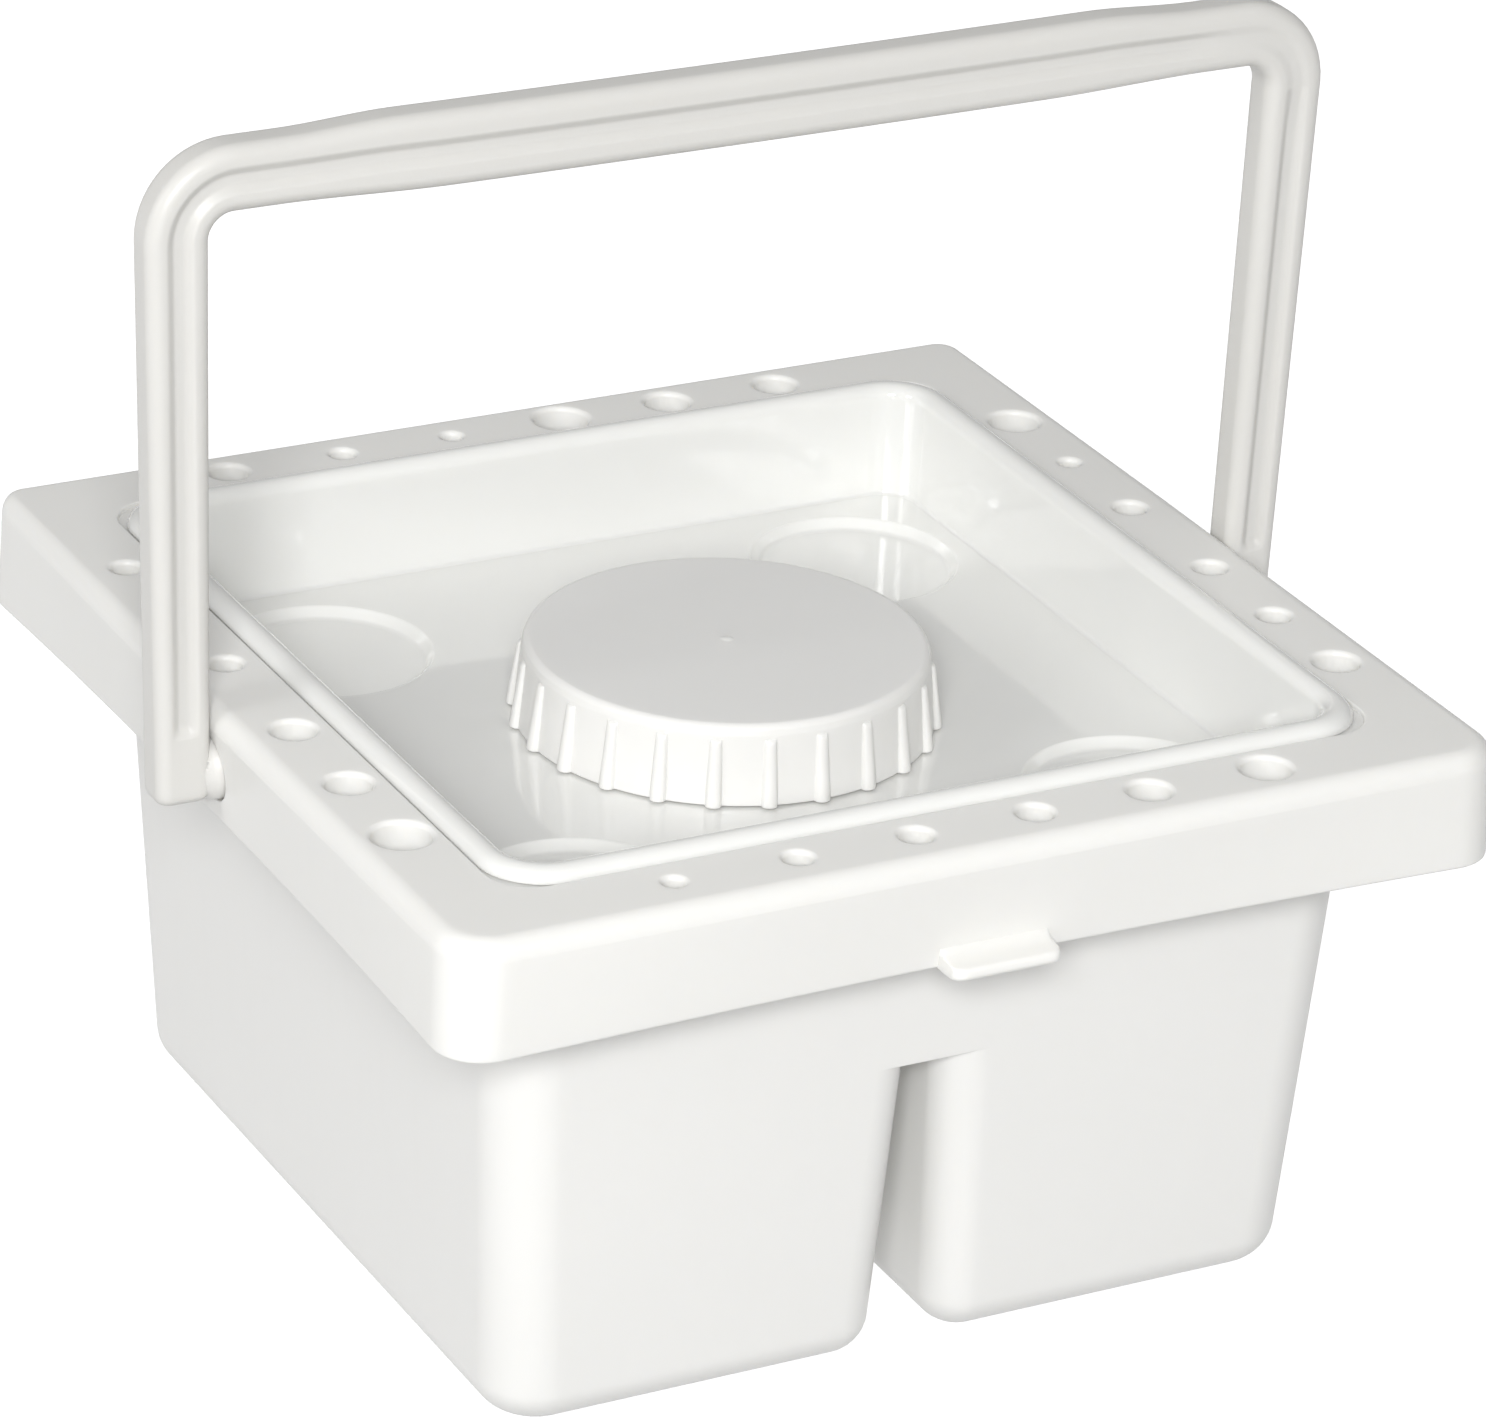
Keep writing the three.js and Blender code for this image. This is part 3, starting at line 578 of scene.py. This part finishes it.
NECK_LIP = 0.6
NECK_COUNT = 240
THREAD_PITCH = 6.0
THREAD_WIDTH = 1.9
THREAD_PROUD = 1.3
NECK_THREAD = (103.2, 112.4)
CAP_THREAD = (102.6, 110.4)


def thread(angle, z, low, high):
    """Height from 0 to 1 of a screw ridge that climbs anticlockwise, fading in and out at its ends."""
    climb = (z - low) / THREAD_PITCH - angle / (2 * math.pi)
    nearest = climb - np.round(climb)
    turn_z = z - nearest * THREAD_PITCH
    ridge = smooth(1.35 - np.abs(nearest) * THREAD_PITCH / (THREAD_WIDTH / 2))
    return ridge * smooth((turn_z - low) / 2.0) * smooth((high - turn_z) / 2.0)


def tray_shell(skin):
    """Floor's edge, inner wall, rolled bead, outer wall and the rounding under the floor."""
    profile = arc((TRAY_LOW_HALF - TRAY_FILLET, TRAY_FLOOR + TRAY_FILLET), TRAY_FILLET, -90, -2, 6)
    profile += [(88.6, 110.0), (88.85, 117.0), (89.0, 121.4)]
    profile += oval((BEAD_MIDDLE, BEAD_BASE), 2.9, BEAD_TOP - BEAD_BASE, 180, 90, 8)
    outer_base = BEAD_BASE + 0.25
    profile += oval((BEAD_MIDDLE, outer_base), 3.1, BEAD_TOP - outer_base, 90, 0, 8)[1:]
    profile += [(BEAD_HALF - 0.1, BEAD_UNDER + 0.1), (BEAD_HALF - 0.35, BEAD_UNDER)]
    bead_end = len(profile)
    profile += arc((TRAY_OUTSIDE + 0.5, BEAD_UNDER - 0.5), 0.5, 90, 180, 3)
    profile += [(90.3, 117.0), (90.1, 109.0)]
    profile += arc((TRAY_OUTSIDE_LOW - TRAY_UNDER_FILLET, TRAY_UNDER + TRAY_UNDER_FILLET),
                   TRAY_UNDER_FILLET, -4, -90, 8)
    rows = []
    for k, (half, z) in enumerate(profile):
        corners = INNER_CORNERS if k < bead_end else OUTER_CORNERS
        rows.append(square(half, np.interp(half, *corners), z, OPENING_STATIONS))
    skin.grid(rows)
    return rows


def well(skin, x, y):
    """A dish with sloping sides in the floor, and the cup below it. Gives their two rims."""
    dish = [(WELL_RADIUS + out, TRAY_FLOOR - down) for out, down in WELL_LIP]
    dish += [(WELL_RADIUS + out, WELL_FLOOR + up) for out, up in WELL_FOOT]
    cup, fillet = WELL_RADIUS + TRAY_WALL, 2.0
    outside = [(cup + 0.5, TRAY_UNDER), (cup + 0.12, TRAY_UNDER - 0.15), (cup, TRAY_UNDER - 0.5)]
    outside += arc((cup - 0.5 - fillet, WELL_FLOOR - TRAY_WALL + fillet), fillet, -8, -90, 6)
    return [turned(skin, x, y, profile, 96, end_flat=True)[0] for profile in (dish, outside)]


def neck(skin):
    """The neck, with its screw thread, rising from the floor and open right through."""
    angles = np.linspace(0, 2 * math.pi, NECK_COUNT, endpoint=False)
    profile = [(NECK_RADIUS + out, TRAY_FLOOR + up) for out, up in ((0.8, 0), (0.24, 0.24), (0, 0.8))]
    upright_from = len(profile)
    profile += [(NECK_RADIUS, z) for z in np.arange(101.6, NECK_TOP - NECK_LIP - 0.1, 0.3)]
    lip_from = len(profile)
    profile += arc((NECK_RADIUS - NECK_LIP, NECK_TOP - NECK_LIP), NECK_LIP, 0, 90, 3)
    profile += arc((NECK_BORE + NECK_LIP, NECK_TOP - NECK_LIP), NECK_LIP, 90, 180, 3)
    profile += [(NECK_BORE, 106.0)]
    profile += [(NECK_BORE + out, TRAY_UNDER + up) for out, up in ((0, 0.5), (0.15, 0.15), (0.5, 0))]
    rows = []
    for k, (radius, z) in enumerate(profile):
        r = np.full(NECK_COUNT, radius)
        if upright_from <= k <= lip_from:
            r += THREAD_PROUD * thread(angles, z, *NECK_THREAD)
        rows.append(np.column_stack([r * np.cos(angles), r * np.sin(angles), np.full(NECK_COUNT, z)]))
    skin.grid(rows)
    return rows


def palette_tray():
    skin = Skin()
    shell = tray_shell(skin)
    rims = [well(skin, x, y) for x, y in WELLS]
    middle = neck(skin)
    skin.fill([shell[0], middle[0], *[top for top, _ in rims]])
    skin.fill([shell[-1], middle[-1], *[bottom for _, bottom in rims]])
    return piece(skin, "palette_tray_visual", "palette_tray", MATERIALS["palette_tray"])


# ---- screw cap and liner ---------------------------------------------------------------------
CAP_TOP = CAP_HIGH[2]
CAP_BASE = CAP_LOW[2]
CAP_RADIUS = 41.2
CAP_SKIRT = 42.7
CAP_WALL = 2.2
CAP_EDGE = 1.7
CAP_FOOT = 0.35
CAP_CEILING = CAP_TOP - CAP_WALL
CAP_INNER_FOOT = CAP_SKIRT - CAP_WALL
CEILING_FILLET = 0.6
GATE_HEIGHT = 0.22
GATE_MARK = ((0.35, 0.22), (0.7, 0.2), (1.0, 0.12), (1.3, 0.03), (1.6, 0.0))  # (radius, rise)
CAP_FACE = CAP_TOP - GATE_HEIGHT
THREAD_GAP = 1.75
RIBS = 24
RIB_PROUD = (CAP_HIGH[0] - CAP_LOW[0]) / 2 - CAP_SKIRT
RIB_PROUD_TOP = 0.75
RIB_TOP = 114.9
RIB_ACROSS = (0.0, 0.35, 0.7, 0.95, 1.12, 1.25, 1.36, 1.47, 1.58, 1.68, 1.8, 1.95, 2.4, 3.3, 4.5)
CAP_LEVELS = [115.8, 115.3, RIB_TOP, 114.8, 114.55, 114.2, 113.6, 112.6, 111.5, 110, 108, 106, 104,
              102.5, 101.6]
QUARTER = np.radians([0, 30, 60, 90])


def cap_angles():
    """Directions of the cap's points, closest at each rib, and how far each lies from its rib."""
    pitch = 2 * math.pi / RIBS
    near = sorted({side * across / CAP_SKIRT for across in RIB_ACROSS for side in (1, -1)})
    angles = np.array([rib * pitch + offset for rib in range(RIBS) for offset in near])
    from_rib = np.abs((angles / pitch + 0.5) % 1 - 0.5) * pitch * CAP_SKIRT
    return angles, from_rib


def cap_skirt(z):
    return CAP_RADIUS + (CAP_SKIRT - CAP_RADIUS) * (CAP_TOP - z) / (CAP_TOP - CAP_BASE)


def rib_height(z, from_rib):
    """How proud the tapered ribs stand at a height, with a rounded start at their top."""
    fall = np.clip((RIB_TOP - z) / (RIB_TOP - CAP_BASE), 0, 1)
    half_width = 1.25 + 0.45 * fall
    across = np.clip(from_rib / half_width, 0, 1)
    crown = np.sqrt(1 - 0.97 * across**2) * smooth((half_width + 0.12 - from_rib) / 0.4)
    start = np.clip(RIB_TOP - z, 0, 1)
    return (RIB_PROUD_TOP + (RIB_PROUD - RIB_PROUD_TOP) * fall) * crown * math.sqrt(1 - (1 - start) ** 2)


def screw_cap():
    skin = Skin()
    angles, from_rib = cap_angles()

    def ring(radius, z, proud=0.0):
        r = radius + proud + np.zeros(len(angles))
        return np.column_stack([r * np.cos(angles), r * np.sin(angles), np.full(len(angles), z)])

    rows = [ring(radius, CAP_FACE + rise) for radius, rise in GATE_MARK]
    rows += [ring(radius, CAP_FACE) for radius in (8, 16, 24, 32)]
    edge = (CAP_RADIUS - CAP_EDGE, CAP_FACE - CAP_EDGE)
    rows += [ring(radius, z) for radius, z in arc(edge, CAP_EDGE, 90, 4, 9)]
    rows += [ring(cap_skirt(z), z, rib_height(z, from_rib)) for z in CAP_LEVELS]
    for a in QUARTER:
        z = CAP_BASE + CAP_FOOT * (1 - math.sin(a))
        rows.append(ring(cap_skirt(z) - CAP_FOOT * (1 - math.cos(a)), z, rib_height(z, from_rib)))
    rows += [ring(CAP_INNER_FOOT + 0.3, CAP_BASE), ring(CAP_INNER_FOOT, CAP_BASE + 0.3)]
    for z in np.arange(CAP_BASE + 0.8, CAP_CEILING - 1.0, 0.35):
        inner = np.interp(z, [CAP_BASE, CAP_CEILING], [CAP_INNER_FOOT, CAP_RADIUS - CAP_WALL])
        rows.append(ring(inner, z, -(inner - NECK_RADIUS - THREAD_GAP) * thread(angles, z, *CAP_THREAD)))
    fillet = (CAP_RADIUS - CAP_WALL - CEILING_FILLET, CAP_CEILING - CEILING_FILLET)
    rows += [ring(radius, z) for radius, z in arc(fillet, CEILING_FILLET, 30, 90, 2)]
    rows += [ring(radius, CAP_CEILING) for radius in (30, 20, 10)]
    skin.grid(rows)
    skin.fill([rows[0]])
    skin.fill([rows[-1]])
    return piece(skin, "screw_cap_visual", "screw_cap", MATERIALS["screw_cap"])


def cap_liner():
    """A foam disc with the neck's rim pressed lightly into its underside."""
    skin = Skin()
    low, high, radius, edge = LINER_LOW[2], LINER_HIGH[2], LINER_HIGH[0], 0.3
    profile = [(30.0, high)]
    profile += arc((radius - edge, high - edge), edge, 90, 0, 3)
    profile += arc((radius - edge, low + edge), edge, 0, -90, 3)
    profile += [(35.9, low), (35.6, low + 0.12), (33.9, low + 0.12), (33.6, low), (30.0, low)]
    turned(skin, 0, 0, profile, 128, start_flat=True, end_flat=True)
    return piece(skin, "cap_liner_visual", "cap_liner", MATERIALS["cap_liner"])


# ---- carry handle ----------------------------------------------------------------------------
BAR_Z = 233.4
BAR_HALF = 6.8
ARM_DEPTH = 9.4
ARM_FOOT = PIVOT_Z - 5.6
ARM_INNER = (114.5, 116.3)  # at the pivot and at the bar
ARM_OUTER = (126.0, 129.6)
CORNER = 11.8
FOOT_ROUND = 2.2
GRIP_START = 101.0
GRIP_SWELL = 1.25
GRIP_SWELL_UNDER = 0.65 * GRIP_SWELL
SAG = 0.45
SAG_HALF = 100.0
GROOVE_END = 14.3
GROOVE_DEPTH = 1.25
GROOVE_FLOOR = 0.7
GROOVE_SIDE = 2.3
FOOT_LEVELS = (0, 0.25, 0.8, 1.6, 2.6, 4, 6, 7.5)
GROOVE_LEVELS = (0, 0.4, 0.8, 1.3, 1.9, 2.6, 3.5, 5, 8)
# The hub from its lip to the arm, and the hollow in its end: (radius, distance from the middle)
HUB = [(7.2, 107.7), (8.0, 107.7), (8.3, 108.0), (8.3, 109.0), (8.1, 109.2), (6.75, 109.2), (6.75, 112.9),
       (6.7, 113.3), (6.6, 113.7), (6.45, 114.1), (6.2, 114.6), (5.85, 115.1), (4.6, 116.2)]
HUB_HOLLOW = [(5.6, 111.6), (6.0, 108.2)]


def arm_edges(z):
    t = (z - PIVOT_Z) / (BAR_Z - PIVOT_Z)
    return tuple(low + (high - low) * t for low, high in (ARM_INNER, ARM_OUTER))


def handle_stations():
    """Matching points of the bail's inner and outer edges, from the left foot round to the right."""
    levels = [ARM_FOOT + up for up in FOOT_LEVELS]
    levels += [ARM_FOOT + GROOVE_END + up for up in GROOVE_LEVELS]
    levels += list(np.linspace(128, BAR_Z - CORNER - 1.0, 14))
    stations = [tuple((-edge, z) for edge in arm_edges(z)) for z in levels]
    inner, outer = arm_edges(BAR_Z - CORNER)
    middle_x, middle_z = (inner + outer) / 2 - CORNER, BAR_Z - CORNER
    for a in np.radians(np.linspace(0, 90, 15)):
        turned_by = a / (math.pi / 2)
        half = (outer - inner) / 2 * (1 - turned_by) + BAR_HALF * turned_by
        stations.append(tuple((-(middle_x + r * math.cos(a)), middle_z + r * math.sin(a))
                              for r in (CORNER - half, CORNER + half)))
    for x in np.append(np.linspace(-middle_x + 2, -62, 18), np.linspace(-62, 0, 9)[1:]):
        above = BAR_HALF + GRIP_SWELL * float(smooth((GRIP_START - abs(x)) / 25))
        below = BAR_HALF + GRIP_SWELL_UNDER * float(smooth((GRIP_START - abs(x)) / 36))
        middle = BAR_Z - SAG * max(0.0, 1 - (x / SAG_HALF) ** 2)
        stations.append(((x, middle - below), (x, middle + above)))
    mirrored = [tuple((-x, z) for x, z in pair) for pair in stations[-2::-1]]
    return stations + mirrored


def handle_section(half, depth, groove):
    """Outline across the bail, with a soft groove down its front and back: (out from the middle,
    front to back)."""
    edge = min(2.9, half * 0.45)
    across = (0, 0.5, 0.9, 1.2, 1.5, 1.8, 2.1, 2.4, 2.7, 3.0)
    front = [(u, depth - groove * (1 - float(smooth((u - GROOVE_FLOOR) / GROOVE_SIDE)))) for u in across]
    front += arc((half - edge, depth - edge), edge, 90, 0, 8)
    right = front + [(u, -v) for u, v in reversed(front)]
    return np.array(right + [(-u, v) for u, v in reversed(right)][1:-1])


def bail_row(inner, outer):
    """The section at one station: rounded off at the foot, its groove fading in above the foot and
    shallower round the right corner."""
    inner, outer = np.array(inner), np.array(outer)
    middle, reach = (inner + outer) / 2, outer - inner
    half, depth = np.linalg.norm(reach) / 2, ARM_DEPTH / 2
    across = reach / (2 * half)
    above_foot = middle[1] - ARM_FOOT if middle[1] < BAR_Z - CORNER else math.inf
    in_corner = float(smooth((middle[0] - 96) / 12) * smooth((middle[1] - 212) / 8))
    groove = GROOVE_DEPTH * float(smooth((above_foot - GROOVE_END + 0.2) / 3.2)) * (1 - 0.7 * in_corner)
    shrink = FOOT_ROUND - math.sqrt(FOOT_ROUND**2 - max(0.0, FOOT_ROUND - above_foot) ** 2)
    section = handle_section(half, depth, groove) * (1 - shrink / half, 1 - shrink / depth)
    return [(middle[0] + across[0] * u, v, middle[1] + across[1] * u) for u, v in section]


def hub(name, sign):
    """The stub at an arm's foot: a flared head inside the skirt, a hollow end, and a stem that
    tapers into the arm."""
    skin = Skin()
    turn = np.linspace(0, 2 * math.pi, 72, endpoint=False)
    rings = [np.column_stack([np.full(len(turn), sign * x), r * np.cos(turn), PIVOT_Z + r * np.sin(turn)])
             for r, x in HUB_HOLLOW + HUB]
    skin.grid(rings)
    skin.fill([rings[0]], plane=(1, 2))
    skin.fill([rings[-1]], plane=(1, 2))
    return piece(skin, name, None, MATERIALS["carry_handle"])


def carry_handle():
    skin = Skin()
    rows = [bail_row(inner, outer) for inner, outer in handle_stations()]
    skin.grid(rows)
    skin.fill([rows[0]])
    skin.fill([rows[-1]])
    hubs = [hub("hub_right", 1), hub("hub_left", -1)]
    return piece(skin, "carry_handle_visual", "carry_handle", MATERIALS["carry_handle"], solid_with=hubs)


# ---- bucket ----------------------------------------------------------------------------------
BUCKET_TOP = BUCKET_HIGH[2]
BASE_HALF = 89.0
SHOULDER_HALF = 94.5
RIM_SPREAD = 0.5
RIM_ROUND = 0.5
BUCKET_CORNER = 12.5
BUCKET_EDGE = 8.0
BUCKET_WALL = 2.2
GAP_ROOF = 67.3
GAP_LOW_HALF = 6.5
GAP_ROOF_HALF = 3.4
POD_CORNER = 9.0
POD_CORNER_STEPS = 10
POD_SIDE = (20.0, 32.0, 44.0, 56.0, 68.0)
POD_LEVELS = (20.0, 36.0, 52.0)
TUB_LEVELS = (78.0, 88.0, SKIRT_LOW, 109.0, BUCKET_TOP - RIM_ROUND)
GAP_MOUTH = GAP_ROOF_HALF + POD_CORNER
BRIDGE = 4.0
UPRIGHT = (-60.0, -40.0, -20.0, 0.0, 20.0, 40.0, 60.0)


def bucket_half(z):
    if z <= SKIRT_LOW:
        return BASE_HALF + (SHOULDER_HALF - BASE_HALF) * z / SKIRT_LOW
    return SHOULDER_HALF + RIM_SPREAD * (z - SKIRT_LOW) / (BUCKET_TOP - SKIRT_LOW)


def gap_half(z):
    return GAP_LOW_HALF + (GAP_ROOF_HALF - GAP_LOW_HALF) * z / GAP_ROOF


def bucket_corner(half, radius):
    """The front right corner of the bucket's outline, from its front side to its right side."""
    return arc((half - radius, radius - half), radius, -90, 0, 12)


def pod_ring(z, wall, inset, sign):
    """One pod's outline: wall is how far inside the outer skin, and inset how far the bottom edge's
    rounding has drawn it in."""
    half = bucket_half(z) - wall - inset
    gap = gap_half(min(z, GAP_ROOF)) + wall + inset
    outer, inner = (max(0.6, corner - wall - inset) for corner in (BUCKET_CORNER, POD_CORNER))
    front = arc((gap + inner, inner - half), inner, 180, 270, POD_CORNER_STEPS)
    front += [(x, -half) for x in POD_SIDE] + bucket_corner(half, outer)
    front += [(half, y) for y in UPRIGHT if y < 0]
    ring = front + [(half, 0.0)] + [(x, -y) for x, y in reversed(front)]
    ring += [(gap, y) for y in reversed(UPRIGHT)]
    return np.array([(sign * x, y, z) for x, y in ring])


def tub_ring(z, wall):
    """The whole square outline above the pods, with points that match theirs."""
    half = bucket_half(z) - wall
    stations = [BRIDGE, GAP_MOUTH, *POD_SIDE]
    front = [(x, -half) for x in (*[-s for s in reversed(stations)], *stations)]
    corner = bucket_corner(half, BUCKET_CORNER - wall)
    right = corner + [(half, y) for y in UPRIGHT] + [(x, -y) for x, y in reversed(corner)]
    ring = front + right + [(-x, -y) for x, y in front + right]
    return np.array([(x, y, z) for x, y in ring])


def roof(skin, ring, pods):
    """The level surface between the pods, bounded by their inner sides and the tub's outline."""
    right, left = ([*pod[-len(UPRIGHT) - POD_CORNER_STEPS - 1:], *pod[:POD_CORNER_STEPS + 1]] for pod in pods)
    bridge = sorted((p for p in ring if abs(p[0]) < GAP_MOUTH - SAME_POINT_MM), key=lambda p: p[0])
    front = [p for p in reversed(bridge) if p[1] < 0]
    back = [p for p in bridge if p[1] > 0]
    skin.fill([np.array([*right, *front, *reversed(left), *back])])


def bottom_rows(wall):
    """Heights and insets up the rounded bottom edge."""
    radius = BUCKET_EDGE - wall
    return [(wall + radius * (1 - math.cos(a)), radius * (1 - math.sin(a)))
            for a in np.radians(np.linspace(0, 90, 12))]


def bucket():
    skin = Skin()
    for wall, roof_z in ((0, GAP_ROOF), (BUCKET_WALL, GAP_ROOF + BUCKET_WALL)):
        pods = []
        for sign in (1, -1):
            rows = [pod_ring(z, wall, inset, sign) for z, inset in bottom_rows(wall)]
            rows += [pod_ring(z, wall, 0, sign) for z in (*POD_LEVELS, roof_z)]
            skin.grid(rows)
            skin.fill([rows[0]])
            pods.append(rows[-1])
        rows = [tub_ring(z, wall) for z in (roof_z, *TUB_LEVELS)]
        skin.grid(rows)
        roof(skin, rows[0], pods)
    lip = [(RIM_ROUND * (1 - math.cos(a)), BUCKET_TOP - RIM_ROUND * (1 - math.sin(a))) for a in QUARTER]
    lip += [(BUCKET_WALL - inset, z) for inset, z in reversed(lip)]
    rows = []
    for inset, z in lip:
        row = tub_ring(BUCKET_TOP - RIM_ROUND, inset)
        row[:, 2] = z
        rows.append(row)
    skin.grid(rows)
    return piece(skin, "bucket_visual", "bucket", MATERIALS["bucket"])


bucket()
lid_frame()
palette_tray()
screw_cap()
cap_liner()
carry_handle()

# ---- camera, at the photograph's angle ---------------------------------------------------------
LENS_PER_WIDTH = 4.911575
SHIFT = -0.025686
AZIMUTH, ELEVATION, ROLL = (math.radians(d) for d in (-28.81, 25.16, 2.85))
DISTANCE = 1.48342
TARGET = Vector((0.01281, MIDDLE_Y / MM - 0.00078, 0.0999))


def towards(azimuth, elevation):
    """Direction from the object, with azimuth 0 at its front, both in radians."""
    level = math.cos(elevation)
    return Vector((math.sin(azimuth) * level, -math.cos(azimuth) * level, math.sin(elevation)))


back = towards(AZIMUTH, ELEVATION)
level_right = Vector((math.cos(AZIMUTH), math.sin(AZIMUTH), 0))
level_up = back.cross(level_right)
right = math.cos(ROLL) * level_right + math.sin(ROLL) * level_up
up = math.cos(ROLL) * level_up - math.sin(ROLL) * level_right
lens = bpy.data.cameras.new("camera")
lens.sensor_fit = "HORIZONTAL"
lens.sensor_width = 36.0
lens.lens = LENS_PER_WIDTH * lens.sensor_width
lens.shift_x = SHIFT
lens.clip_end = 20
camera = bpy.data.objects.new("camera", lens)
facing = Matrix((right, up, back)).transposed().to_4x4()
camera.matrix_world = Matrix.Translation(TARGET + back * DISTANCE) @ facing
bpy.context.collection.objects.link(camera)
bpy.context.scene.camera = camera

# ---- floor and light ---------------------------------------------------------------------------
# The floor lies a hair under the feet, gives no diffuse bounce, and is clear from below so that the
# underside shows.
FLOOR_Z = -0.0001
FLOOR_HALF = 6
floor_mesh = bpy.data.meshes.new("floor")
floor_corners = [(x * FLOOR_HALF, y * FLOOR_HALF, FLOOR_Z) for x, y in ((-1, -1), (1, -1), (1, 1), (-1, 1))]
floor_mesh.from_pydata(floor_corners, [], [(0, 1, 2, 3)])
floor = bpy.data.objects.new("floor", floor_mesh)
bpy.context.collection.objects.link(floor)
paper = bpy.data.materials.new("paper")
paper.use_nodes = True
paper_nodes, paper_links = paper.node_tree.nodes, paper.node_tree.links
pale = paper_nodes["Principled BSDF"]
pale.inputs["Base Color"].default_value = (0.4, 0.4, 0.4, 1)
pale.inputs["Roughness"].default_value = 0.9
pale.inputs["Emission Color"].default_value = (1, 1, 1, 1)
pale.inputs["Emission Strength"].default_value = 0.90
side = paper_nodes.new("ShaderNodeNewGeometry")
clear = paper_nodes.new("ShaderNodeBsdfTransparent")
either = paper_nodes.new("ShaderNodeMixShader")
paper_links.new(side.outputs["Backfacing"], either.inputs["Fac"])
paper_links.new(pale.outputs["BSDF"], either.inputs[1])
paper_links.new(clear.outputs["BSDF"], either.inputs[2])
paper_links.new(either.outputs["Shader"], paper_nodes["Material Output"].inputs["Surface"])
floor_mesh.materials.append(paper)
floor.visible_diffuse = False

LIT_POINT = Vector((0, 0, 0.11))


def softbox(name, azimuth, elevation, distance, size, power):
    light = bpy.data.lights.new(name, "AREA")
    light.shape = "RECTANGLE"
    light.size, light.size_y = size
    light.energy = power
    lamp = bpy.data.objects.new(name, light)
    away = towards(math.radians(azimuth), math.radians(elevation))
    lamp.location = LIT_POINT + away * distance
    lamp.rotation_euler = away.to_track_quat("Z", "Y").to_euler()
    bpy.context.collection.objects.link(lamp)


softbox("key", -30, 27, 1.8, (0.5, 0.42), 27.5)
softbox("left fill", -85, 26, 2.0, (0.5, 0.5), 6.5)

world = bpy.data.worlds.new("world")
bpy.context.scene.world = world
world.use_nodes = True
world.node_tree.nodes["Background"].inputs["Color"].default_value = (1, 1, 1, 1)
world.node_tree.nodes["Background"].inputs["Strength"].default_value = 0.42
bpy.context.scene.view_settings.view_transform = "Standard"
